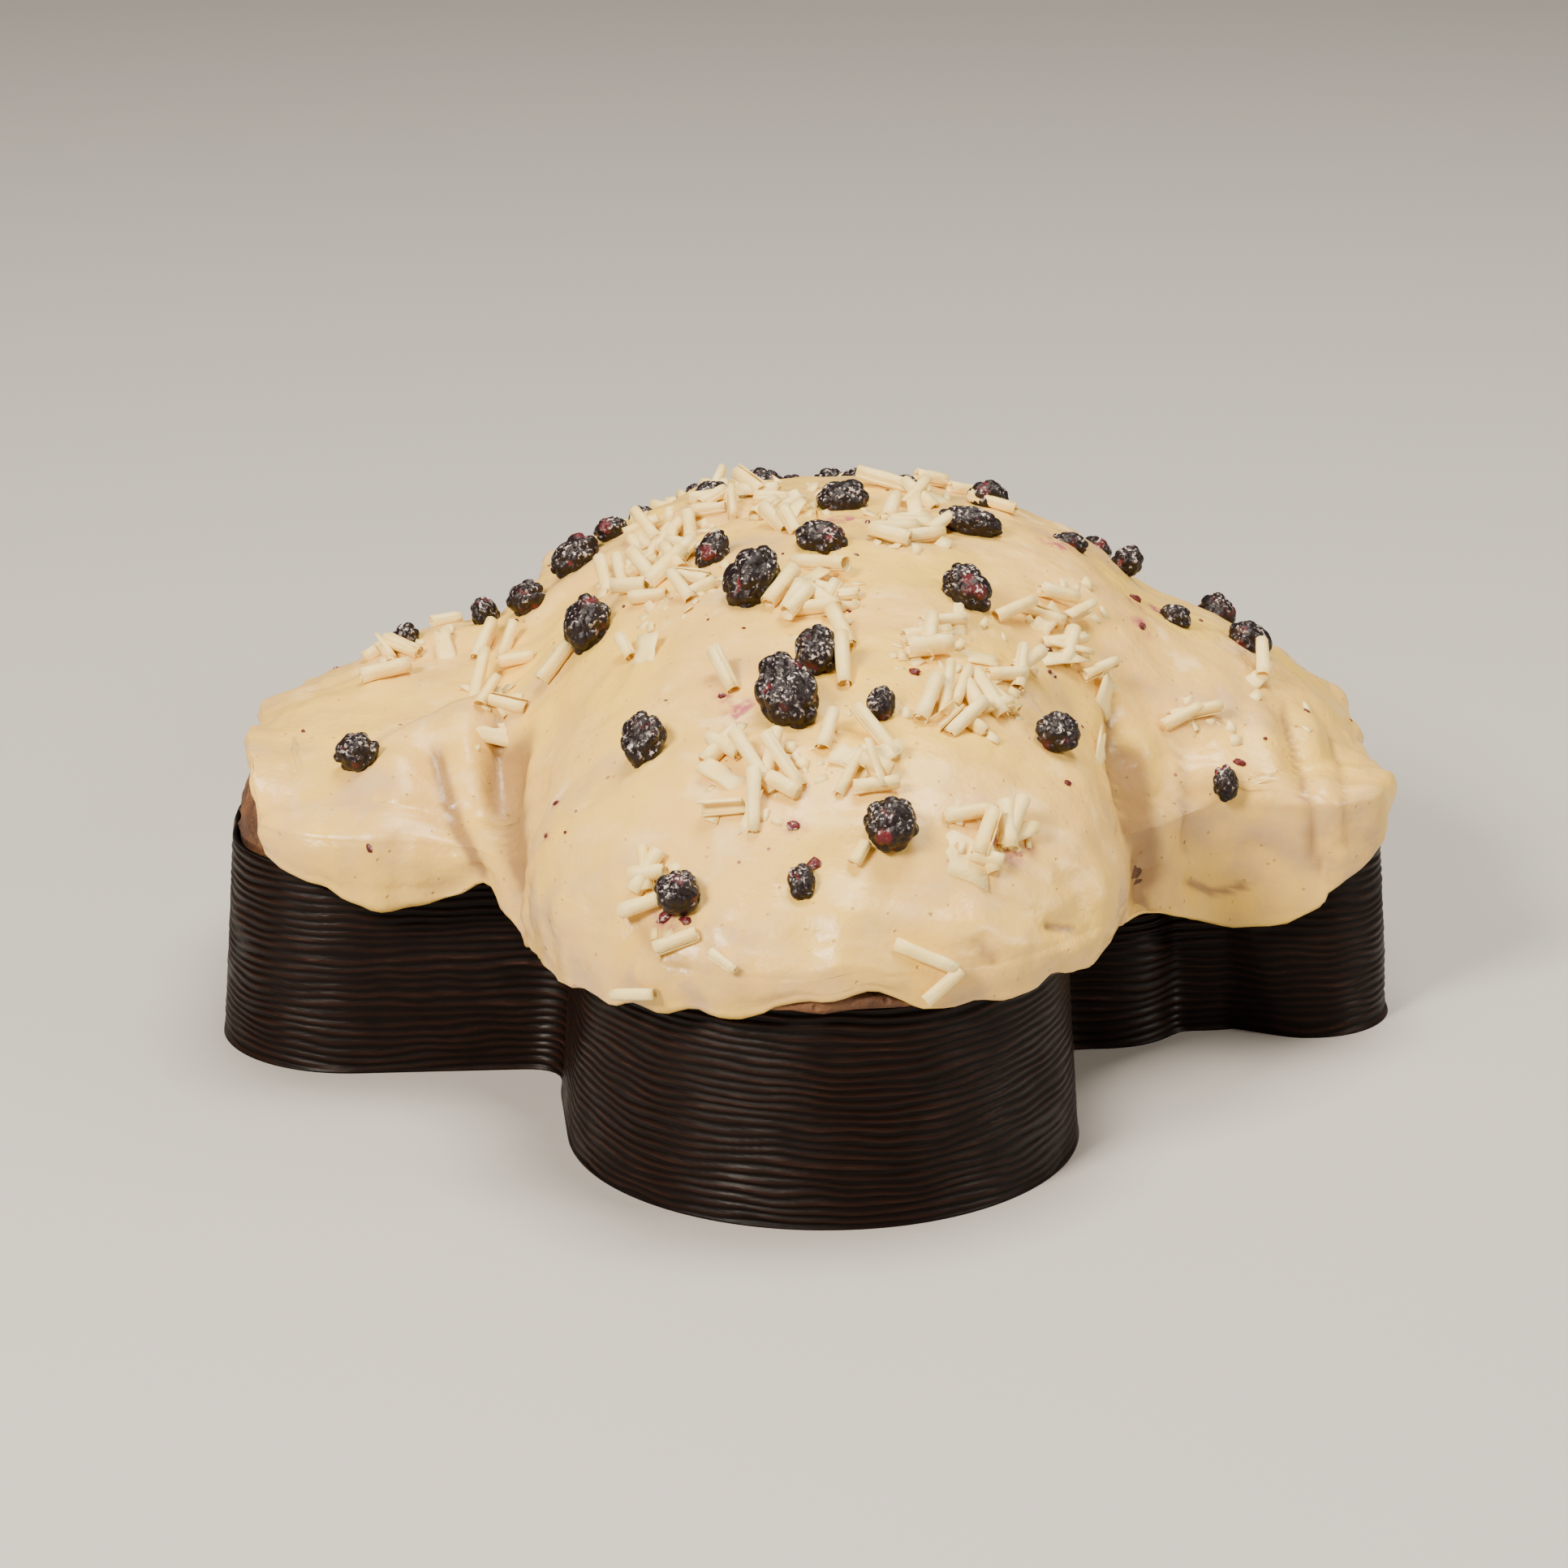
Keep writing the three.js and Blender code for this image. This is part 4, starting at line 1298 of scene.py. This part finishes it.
@dataclass
class Berries:
    """The dried brambles, each a clump of drupelets half sunk in the icing."""

    surface: Surface
    detail: int = 5
    drupelets: int = 30
    stand_share: float = 0.27
    tall_share: float = 0.47
    least_shown: float = 0.7
    headroom: float = 0.3
    spots: tuple[BerrySpot, ...] = (
        BerrySpot(440, 927, 8.4, 8.0), BerrySpot(498, 786, 6.6, 5.6, 70),
        BerrySpot(597, 752, 7.4, 6.0, 80), BerrySpot(649, 738, 8.0, 7.4, 20),
        BerrySpot(708, 686, 11.0, 8.0, 35), BerrySpot(753, 652, 7.0, 5.4, 15),
        BerrySpot(723, 770, 11.6, 9.6, 100), BerrySpot(877, 679, 8.6, 6.2, 80),
        BerrySpot(927, 713, 13.0, 10.4, 75), BerrySpot(877, 610, 8.0, 6.4),
        BerrySpot(1038, 612, 10.6, 9.0, 15), BerrySpot(1011, 658, 10.0, 8.4, -30),
        BerrySpot(1116, 598, 5.2, 4.6, 10), BerrySpot(1197, 643, 12.6, 6.4, -22),
        BerrySpot(1215, 608, 8.6, 6.6), BerrySpot(1191, 727, 11.0, 8.8, 110),
        BerrySpot(1318, 670, 7.6, 5.0), BerrySpot(1388, 678, 6.6, 6.0),
        BerrySpot(1449, 760, 6.4, 5.4, -15), BerrySpot(1540, 788, 9.4, 7.8, -25),
        BerrySpot(970, 855, 14.4, 11.2, 105), BerrySpot(1006, 803, 9.4, 8.4, 90),
        BerrySpot(1085, 868, 6.8, 5.4, 80), BerrySpot(793, 912, 10.4, 8.2, 100),
        BerrySpot(1303, 902, 8.4, 8.0), BerrySpot(1098, 1015, 9.6, 9.2, 60),
        BerrySpot(835, 1100, 8.4, 8.2, 40), BerrySpot(988, 1087, 6.4, 4.8, 95),
        BerrySpot(1510, 965, 7.0, 5.0, 95),
    )

    def _seen_frame(self, spot: BerrySpot) -> tuple[Matrix, Vector] | None:
        """Where a berry of the photograph sits and how large it is.

        Args:
            spot: What the photograph shows.

        Returns:
            Its placing and its half sizes along its own axes, or None where the icing is missed.
        """
        hit = self.surface.seen((spot.column, spot.row))
        if hit is None:
            return None
        place, normal = hit
        sight = self.surface.sight
        right, up, _ = sight.axes()
        ray = sight.ray((spot.column, spot.row)).normalized()
        height = spot.wide * self.stand_share
        back = min(height / max(-ray.dot(normal), 0.05), 3 * height)
        centre = place - ray * back
        square_on = sight.slanted(math.radians(spot.slant))
        along = (square_on - normal * square_on.dot(normal) * 0.5).normalized()
        across = normal.cross(along).normalized()
        upright = along.cross(across).normalized()
        shown = math.hypot(along.dot(right), along.dot(up))
        long = spot.long / 2 / max(shown, self.least_shown)
        half = Vector((long, spot.wide / 2, spot.wide * self.tall_share))
        over = centre.z + half.length * 0.62 - (CAD_BOX[1].z / MM - self.headroom)
        centre.z -= max(over, 0)
        return placing(centre, along, across, upright), half

    def _frame_of(self, node: str) -> tuple[Matrix, Vector]:
        """Where a berry sits and how large it is, read from its solid.

        Args:
            node: The solid's name.

        Returns:
            Its placing, and its half sizes along its own axes.
        """
        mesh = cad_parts[node].data
        points = np.array([vertex.co for vertex in mesh.vertices]) / MM
        middle = (points.min(axis=0) + points.max(axis=0)) / 2
        hit = self.surface.under(middle[0], middle[1])
        normal = np.array(hit[1])
        side = np.cross(normal, [0.0, 1.0, 0.0])
        side = side / np.linalg.norm(side)
        ways = [(math.cos(turn), math.sin(turn)) for turn in np.radians(np.arange(0, 180, 5))]
        headings = [side * cos + np.cross(normal, side) * sin for cos, sin in ways]
        along = max(headings, key=lambda heading: float(np.ptp(points @ heading)))
        across = np.cross(normal, along)
        spans = [np.ptp(points @ axis) / 2 for axis in (along, across)]
        stand = float((points @ normal).max() - np.array(hit[0]) @ normal)
        tall = max(0.95 * spans[1], 0.7 * stand)
        centre = np.array(hit[0]) + normal * (stand - tall)
        shift = middle + normal * ((centre - middle) @ normal)
        return placing(shift, along, across, normal), Vector((*spans, tall))

    def build(self, finish: bpy.types.Material) -> None:
        """Makes every berry.

        Args:
            finish: Their material.
        """
        names = sorted(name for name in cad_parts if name.startswith("berry_"))
        for index, node in enumerate(names):
            seen = self._seen_frame(self.spots[index]) if index < len(self.spots) else None
            matrix, half = seen or self._frame_of(node)
            self._one(node, matrix, half, np.random.default_rng(SEED + index), finish)

    def _one(
        self,
        node: str,
        matrix: Matrix,
        half: Vector,
        chance: np.random.Generator,
        finish: bpy.types.Material,
    ) -> None:
        """Makes one berry.

        Args:
            node: The solid that it stands for.
            matrix: Where it sits and how it lies.
            half: Its half sizes along its own axes.
            chance: Its own random numbers.
            finish: Its material.
        """
        shape = bmesh.new()
        bmesh.ops.create_icosphere(shape, subdivisions=self.detail, radius=1.0)
        count = self.drupelets + int(chance.integers(-6, 7))
        order = np.arange(count) + 0.5
        polar = np.arccos(1 - 2 * order / count)
        turn = math.pi * (1 + math.sqrt(5)) * order
        level = np.sin(polar)
        knobs = np.stack([np.cos(turn) * level, np.sin(turn) * level, np.cos(polar)], axis=1)
        knobs += chance.normal(0, 0.09, knobs.shape)
        knobs /= np.linalg.norm(knobs, axis=1, keepdims=True)
        plump = chance.uniform(0.35, 1.0, count)
        size = 1.9 / math.sqrt(count) * chance.uniform(0.85, 1.2, count)
        shift = chance.uniform(0, 90)
        points = points_of(shape)
        gaps = np.linalg.norm(points[:, None] - knobs[None], axis=2) / size
        dome = np.sqrt(np.maximum(1 - gaps**2, 0)) * plump
        bulge = dome.max(axis=1)
        shrunk = lumps(points * 10, 9.0, seed=shift)
        wrinkle = lumps(points * 10, 2.0, seed=shift + 5)
        radius = np.minimum(0.80 + 0.19 * bulge + 0.07 * shrunk + 0.03 * wrinkle, 1.0)
        for vertex, length in zip(shape.verts, radius):
            place = Vector(vertex.co) * float(length)
            vertex.co = Vector((place.x * half.x, place.y * half.y, place.z * half.z))
        bmesh.ops.transform(shape, matrix=matrix, verts=shape.verts)
        shape.normal_update()
        paint(shape, "valley", 1 - bulge)
        paint(shape, "torn", smooth_share(shrunk * 3 - 1.1) * 0.6)
        paint(shape, "upward", [vertex.normal.z for vertex in shape.verts])
        finish_piece(f"{node}_fruit", shape, finish, (node,))


class CurlKind(Enum):
    """The shapes that scraped chocolate takes."""

    TIGHT = "tight roll"
    OPEN = "open roll"
    SHARD = "flat shard"


@dataclass(frozen=True)
class Curl:
    """One curl by the pixel of its middle: length and width in mm, and its slant in the image."""

    column: float
    row: float
    slant: float
    length: float = 7.5
    width: float = 2.5
    kind: CurlKind = CurlKind.TIGHT


@dataclass(frozen=True)
class Drift:
    """A patch of curls strewn about a pixel: its half sizes in pixels and how many."""

    column: float
    row: float
    wide: float
    tall: float
    count: int


@dataclass
class Curls:
    """The white chocolate, rolled by the scraper and strewn over the icing."""

    surface: Surface
    seen: tuple[Curl, ...] = (
        Curl(893, 838, -63, 7.5, 2.9), Curl(1038, 827, -86, 8.7, 2.8),
        Curl(1075, 908, -51, 9.2, 2.3), Curl(893, 927, 47, 7.1, 2.9),
        Curl(931, 948, -56, 10.4, 2.6), Curl(965, 945, -55, 9.4, 2.4),
        Curl(928, 993, -90, 9.0, 2.6), Curl(1140, 868, 67, 7.5, 2.9),
        Curl(1161, 860, 80, 9.2, 2.4), Curl(1181, 856, 67, 6.6, 2.3),
        Curl(1210, 862, -57, 7.9, 3.0), Curl(1188, 893, 43, 7.9, 2.4),
        Curl(1238, 839, 3, 6.0, 2.3), Curl(1141, 790, 8, 7.2, 2.8), Curl(1160, 773, 8, 6.8, 2.4),
        Curl(1142, 806, 8, 7.0, 3.4, CurlKind.OPEN), Curl(1027, 703, -4, 9.5, 2.8),
        Curl(1029, 741, 6, 7.6, 2.0), Curl(965, 733, 53, 7.2, 2.9),
        Curl(983, 752, 50, 6.0, 3.0, CurlKind.OPEN), Curl(1027, 756, 5, 7.4, 2.2),
        Curl(1100, 660, 5, 7.5, 2.4), Curl(1115, 646, 4, 8.0, 2.2), Curl(792, 656, 25, 6.6, 2.6),
        Curl(827, 706, 45, 7.5, 2.9), Curl(800, 710, -50, 7.2, 2.8), Curl(773, 714, -75, 6.4, 2.6),
        Curl(750, 725, -75, 8.0, 2.5), Curl(808, 679, 70, 6.0, 2.4), Curl(824, 677, 75, 6.4, 2.6),
        Curl(845, 690, 55, 6.0, 2.6), Curl(954, 650, -45, 6.0, 2.7), Curl(971, 654, -60, 5.6, 2.6),
        Curl(950, 618, 3, 6.4, 2.6), Curl(985, 622, -65, 5.4, 2.3), Curl(881, 617, 5, 9.0, 2.4),
        Curl(1146, 597, -5, 5.6, 2.6), Curl(1192, 612, -7, 7.2, 2.3),
        Curl(1088, 600, -17, 9.0, 2.5), Curl(1223, 626, -18, 7.6, 2.2),
        Curl(1194, 1006, 10, 7.4, 2.4), Curl(1211, 1030, 70, 7.0, 2.9),
        Curl(1244, 1018, 67, 7.8, 2.6), Curl(1185, 1058, -20, 8.6, 5.4, CurlKind.SHARD),
        Curl(802, 1077, 60, 7.8, 2.8), Curl(796, 1116, 19, 7.0, 2.5),
        Curl(835, 1163, 20, 7.0, 2.3), Curl(893, 1186, -35, 4.2, 1.8),
        Curl(790, 1218, 2, 6.6, 2.0), Curl(1140, 1180, -22, 10.6, 2.3),
        Curl(1160, 1213, 42, 7.4, 2.3), Curl(777, 806, -60, 4.2, 2.6),
        Curl(800, 808, 80, 6.0, 3.6, CurlKind.SHARD),
        Curl(1061, 946, 30, 6.4, 4.4, CurlKind.SHARD),
        Curl(1046, 935, -20, 5.4, 3.4, CurlKind.SHARD), Curl(1079, 973, 8, 7.2, 2.5),
        Curl(1060, 1052, 60, 3.8, 2.4), Curl(1046, 783, -65, 7.2, 2.8),
        Curl(477, 834, 15, 8.0, 2.6), Curl(497, 803, -20, 6.4, 2.6),
        Curl(470, 805, 35, 6.4, 2.6, CurlKind.OPEN), Curl(588, 848, 80, 10.0, 2.7),
        Curl(600, 800, 70, 7.4, 2.6), Curl(631, 794, 75, 6.6, 2.4), Curl(691, 821, 55, 8.0, 2.8),
        Curl(551, 769, 15, 5.0, 2.4), Curl(624, 727, 88, 6.4, 2.4),
        Curl(1287, 768, 50, 5.6, 2.8, CurlKind.SHARD),
        Curl(1322, 762, 30, 6.0, 3.0, CurlKind.OPEN), Curl(1474, 881, 12, 9.0, 2.2),
        Curl(1360, 861, 70, 6.4, 3.6, CurlKind.SHARD),
        Curl(1352, 930, 80, 6.4, 2.4, CurlKind.SHARD), Curl(1300, 740, -10, 6.4, 2.4),
        Curl(1245, 760, 25, 7.4, 2.5),
    )
    drifts: tuple[Drift, ...] = (
        Drift(815, 700, 60, 62, 18), Drift(925, 620, 80, 20, 12), Drift(1010, 735, 44, 44, 7),
        Drift(1120, 640, 50, 34, 9), Drift(610, 830, 34, 85, 5), Drift(500, 805, 50, 34, 4),
        Drift(925, 955, 50, 60, 6), Drift(1050, 930, 40, 40, 5), Drift(1192, 832, 70, 66, 10),
        Drift(1210, 1040, 46, 36, 4), Drift(1318, 795, 44, 60, 6), Drift(1476, 880, 30, 16, 2),
        Drift(812, 1105, 34, 44, 2), Drift(1560, 860, 60, 60, 2),
    )
    crumbs_per_curl: float = 2.4
    hidden_count: int = 260
    walls: float = 0.32
    most_stretch: float = 1.2
    plump: float = 1.12
    lean: float = 0.42
    crumb_spread: float = 1.35
    crumb_longest: float = 3.0
    back_from: float = 20.0
    back_margin: float = 12.0
    steepest: float = 0.45
    back_tries: int = 6000
    crumb_of: int = 4

    def _strip(self, curl: Curl, chance: np.random.Generator) -> bmesh.types.BMesh:
        """Rolls one strip of chocolate along its own X axis.

        Args:
            curl: What it is like.
            chance: Random numbers for its unevenness.

        Returns:
            The curl, lying at the origin.
        """
        strip = bmesh.new()
        shard = curl.kind is CurlKind.SHARD
        small = curl.length < self.crumb_longest
        rows = 1 if small else 3 if shard else 14
        bmesh.ops.create_grid(strip, x_segments=1 if small else 4, y_segments=rows, size=0.5)
        turns = {CurlKind.TIGHT: 1.5, CurlKind.OPEN: 0.72, CurlKind.SHARD: 0.12}[curl.kind]
        taper = chance.uniform(0.0, 0.22)
        skew = chance.uniform(-0.08, 0.08) * curl.length
        bow = chance.uniform(-0.4, 0.4)
        seam = chance.uniform(0, 2 * math.pi)
        rough = chance.normal(0, 0.035, len(strip.verts))
        for vertex, jolt in zip(strip.verts, rough):
            along, over = vertex.co.x, vertex.co.y + 0.5
            sag = bow * (0.25 - along * along)
            if shard:
                x = along * curl.length * (1 + jolt * 4) + skew * over
                y = (over - 0.5) * curl.width * (1 - 2.2 * taper * along + jolt * 4)
                vertex.co = Vector((x, y, 0.35 + sag * 1.5 + jolt * 4))
                continue
            half = curl.width / 2 * (1 - taper * (along + 0.5)) + jolt
            x = along * curl.length + skew * over
            angle = seam + over * turns * 2 * math.pi
            shrink = 1 - 0.42 * over * min(1.0, turns)
            y = half * shrink * math.sin(angle)
            z = half - half * shrink * math.cos(angle) + sag
            vertex.co = Vector((x, y, z))
        bmesh.ops.solidify(strip, geom=strip.faces[:], thickness=self.walls)
        bmesh.ops.recalc_face_normals(strip, faces=strip.faces)
        return strip

    @staticmethod
    def _size(crumb: bool, chance: np.random.Generator) -> tuple[float, float]:
        """A length and a width, for a crumb or for a whole curl."""
        if crumb:
            return float(chance.uniform(0.8, 2.3)), float(chance.uniform(0.8, 1.9))
        return float(chance.uniform(5.0, 7.6)), float(chance.uniform(2.2, 3.0))

    def _strewn(self, chance: np.random.Generator) -> list[Curl]:
        """The curls that are seen one by one, and then the curls and crumbs of every drift."""
        found = list(self.seen)
        kinds = [CurlKind.TIGHT] * 5 + [CurlKind.OPEN] * 2 + [CurlKind.SHARD] * 3
        for drift in self.drifts:
            for index in range(round(drift.count * (1 + self.crumbs_per_curl))):
                crumb = index >= drift.count
                away = (self.crumb_spread if crumb else 1.0) * math.sqrt(chance.uniform())
                turn = chance.uniform(0, 2 * math.pi)
                column = drift.column + drift.wide * away * math.cos(turn)
                row = drift.row + drift.tall * away * math.sin(turn)
                slant = float(chance.uniform(0, 180))
                size = self._size(crumb, chance)
                kind = CurlKind.SHARD if crumb else kinds[int(chance.integers(len(kinds)))]
                found.append(Curl(column, row, slant, *size, kind))
        return found

    def build(self, finish: bpy.types.Material) -> None:
        """Makes all curls, as one piece.

        Args:
            finish: Their material.
        """
        chance = np.random.default_rng(SEED)
        whole = bmesh.new()
        for curl in self._strewn(chance):
            hit = self.surface.seen((curl.column, curl.row))
            if hit is None:
                continue
            slant = math.radians(curl.slant)
            heading = self._heading(hit[1], slant)
            longer = min(heading.length, self.most_stretch)
            heading = heading.normalized() * (1 - self.lean)
            heading += self.surface.sight.slanted(slant) * self.lean
            curl = replace(curl, length=curl.length * longer, width=curl.width * self.plump)
            self._lay(whole, curl, hit, heading, chance)
        self._strew_back(whole, chance)
        finish_piece("chocolate_curls", whole, finish, ("icing",))

    def _strew_back(self, whole: bmesh.types.BMesh, chance: np.random.Generator) -> None:
        """Strews curls and crumbs where the photograph doesn't see.

        Args:
            whole: The mesh that takes them.
            chance: Random numbers for all of it.
        """
        low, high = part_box("icing")
        left = self.hidden_count
        for _ in range(self.back_tries):
            x = chance.uniform(low[0], high[0]) / MM
            y = chance.uniform(self.back_from, high[1] / MM - self.back_margin)
            hit = self.surface.under(x, y)
            if hit is None or hit[1].z < self.steepest:
                continue
            if not self.surface.hidden(hit[0] + hit[1] * 2):
                continue
            crumb = left % self.crumb_of > 0
            kind = CurlKind.SHARD if crumb else list(CurlKind)[int(chance.integers(3))]
            size = self._size(crumb, chance)
            heading = Vector((chance.normal(), chance.normal(), 0))
            self._lay(whole, Curl(0, 0, 0, *size, kind), hit, heading, chance)
            left -= 1
            if left == 0:
                break

    def _heading(self, normal: Vector, slant: float) -> Vector:
        """The way along the icing that has a slant in the photograph.

        Args:
            normal: The icing's normal.
            slant: The slant in radians, from level and counter-clockwise.

        Returns:
            The way, as long as one millimetre seen square on looks.
        """
        right, up, _ = self.surface.sight.axes()
        first = right.cross(normal).normalized()
        second = normal.cross(first)
        seen = Matrix(((first.dot(right), second.dot(right)), (first.dot(up), second.dot(up))))
        if abs(seen.determinant()) < 0.05:
            return second
        share = seen.inverted() @ Vector((math.cos(slant), math.sin(slant)))
        return first * share.x + second * share.y

    def _lay(
        self,
        whole: bmesh.types.BMesh,
        curl: Curl,
        hit: tuple[Vector, Vector],
        heading: Vector,
        chance: np.random.Generator,
    ) -> None:
        """Lays one curl on the icing.

        Args:
            whole: The mesh that takes it.
            curl: What it is like.
            hit: The place and the icing's normal there.
            heading: Which way it points.
            chance: Random numbers for its tilt.
        """
        place, normal = hit
        strip = self._strip(curl, chance)
        along = heading.normalized()
        across = (normal + along * chance.normal(0, 0.12)).cross(along).normalized()
        upright = along.cross(across).normalized()
        raised = abs(along.dot(normal)) * curl.length * 0.36
        lift = raised + chance.uniform(-0.45, 0.05)
        matrix = placing(place + normal * lift, along, across, upright)
        bmesh.ops.transform(strip, matrix=matrix, verts=strip.verts)
        places = held_in_box(points_of(strip))
        for vertex, held in zip(strip.verts, places):
            vertex.co = Vector(held)
        carrier = bpy.data.meshes.new("curl")
        strip.to_mesh(carrier)
        strip.free()
        whole.from_mesh(carrier)
        bpy.data.meshes.remove(carrier)


@dataclass
class BerryBits:
    """Crumbs broken from the brambles, lying in the icing."""

    surface: Surface
    noted: tuple[tuple[float, float, float], ...] = (
        (1398, 738, 1.1), (1407, 772, 0.9), (1037, 788, 1.3), (1127, 829, 1.2), (1081, 962, 0.8),
        (977, 1018, 0.9), (1003, 1065, 1.1), (1527, 940, 0.9), (455, 1045, 0.6), (685, 990, 0.5),
        (673, 1030, 0.5), (1290, 800, 0.9), (1315, 965, 0.7), (890, 858, 0.7), (1240, 1040, 0.7),
        (1222, 1030, 0.6), (850, 1158, 0.6), (1570, 790, 0.8), (820, 1130, 1.2), (845, 1135, 0.9),
    )
    strewn: int = 70
    steepest: float = 0.35

    def build(self, finish: bpy.types.Material) -> None:
        """Makes the bits, as one piece.

        Args:
            finish: Their material.
        """
        chance = np.random.default_rng(SEED + 500)
        whole = bmesh.new()
        spots = [(self.surface.seen((column, row)), size) for column, row, size in self.noted]
        low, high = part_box("icing")
        while len(spots) < len(self.noted) + self.strewn:
            x = chance.uniform(low[0], high[0]) / MM
            y = chance.uniform(low[1], high[1]) / MM
            hit = self.surface.under(x, y)
            if hit is not None and hit[1].z > self.steepest:
                spots.append((hit, chance.uniform(0.25, 0.6)))
        for hit, size in spots:
            if hit is None:
                continue
            place, normal = hit
            stretch = Vector((chance.uniform(0.7, 1.5), chance.uniform(0.6, 1.0), 0.5)) * size
            bit = bmesh.ops.create_icosphere(whole, subdivisions=2, radius=1.0)["verts"]
            turn = Matrix.Rotation(chance.uniform(0, 6.3), 4, normal)
            upright = Vector((0, 0, 1)).rotation_difference(normal).to_matrix().to_4x4()
            for vertex in bit:
                vertex.co = vertex.co * (1 + chance.normal(0, 0.14))
                vertex.co = Vector([a * b for a, b in zip(vertex.co, stretch)])
            matrix = Matrix.Translation(place + normal * 0.15 * size) @ turn @ upright
            bmesh.ops.transform(whole, matrix=matrix, verts=bit)
        for name, value in (("valley", 0.7), ("torn", 0.7), ("upward", 0.3)):
            paint(whole, name, [value] * len(whole.verts))
        finish_piece("berry_bits", whole, finish, ("icing",))


# ---- Studio ----


@dataclass(frozen=True)
class Lamp:
    """One soft light: where it hangs, its side, its strength and its colour."""

    name: str
    place: tuple[float, float, float]
    side: float
    power: float
    colour: Colour


@dataclass
class Studio:
    """The pale floor, the soft lights and the camera."""

    sight: Sight
    lamps: tuple[Lamp, ...] = (
        Lamp("front_softbox", (-0.75, -0.85, 0.85), 0.36, 34.0, (1.0, 0.90, 0.78)),
        Lamp("top_softbox", (0.15, 0.10, 1.3), 0.6, 24.0, (1.0, 0.93, 0.83)),
        Lamp("right_softbox", (1.2, -0.5, 0.7), 0.4, 10.0, (1.0, 0.90, 0.78)),
    )
    sky: Colour = (0.86, 0.82, 0.76)
    sky_strength: float = 0.15
    floor_half: float = 4.0
    aim: tuple[float, float, float] = (0, 0, 0.04)

    def build(self) -> None:
        """Makes the floor, lights, sky and camera."""
        floor = bmesh.new()
        bmesh.ops.create_grid(floor, x_segments=2, y_segments=2, size=self.floor_half)
        mesh = bpy.data.meshes.new("studio_floor")
        floor.to_mesh(mesh)
        floor.free()
        mesh.materials.append(FloorFinish().build())
        ground = bpy.data.objects.new("studio_floor", mesh)
        bpy.context.scene.collection.objects.link(ground)
        for lamp in self.lamps:
            self._hang(lamp)
        world = bpy.data.worlds.new("studio_sky")
        world.use_nodes = True
        sky = world.node_tree.nodes["Background"]
        sky.inputs["Color"].default_value = (*self.sky, 1.0)
        sky.inputs["Strength"].default_value = self.sky_strength
        bpy.context.scene.world = world
        self.sight.camera()

    def _hang(self, lamp: Lamp) -> None:
        """Hangs one light, aimed at the cake."""
        data = bpy.data.lights.new(lamp.name, "AREA")
        data.size = lamp.side
        data.energy = lamp.power
        data.color = lamp.colour
        light = bpy.data.objects.new(lamp.name, data)
        light.location = lamp.place
        aim = Vector(self.aim) - Vector(lamp.place)
        light.rotation_euler = aim.to_track_quat("-Z", "Y").to_euler()
        bpy.context.scene.collection.objects.link(light)


def main() -> None:
    """Builds the cake from the case up, then the studio."""
    logging.basicConfig(level=logging.INFO, format="%(relativeCreated)d %(name)s %(message)s")
    sight = Sight()
    plan = CakePlan()
    PaperCase(plan).build(CasePaperFinish().build())
    Crust(plan).build(CrustFinish().build())
    surface = Icing(plan, sight).build(IcingFinish().build())
    berry = BerryFinish().build()
    Berries(surface).build(berry)
    Curls(surface).build(ChocolateFinish().build())
    BerryBits(surface).build(berry)
    Studio(sight).build()
    bpy.context.view_layer.update()


if __name__ == "__main__":
    main()
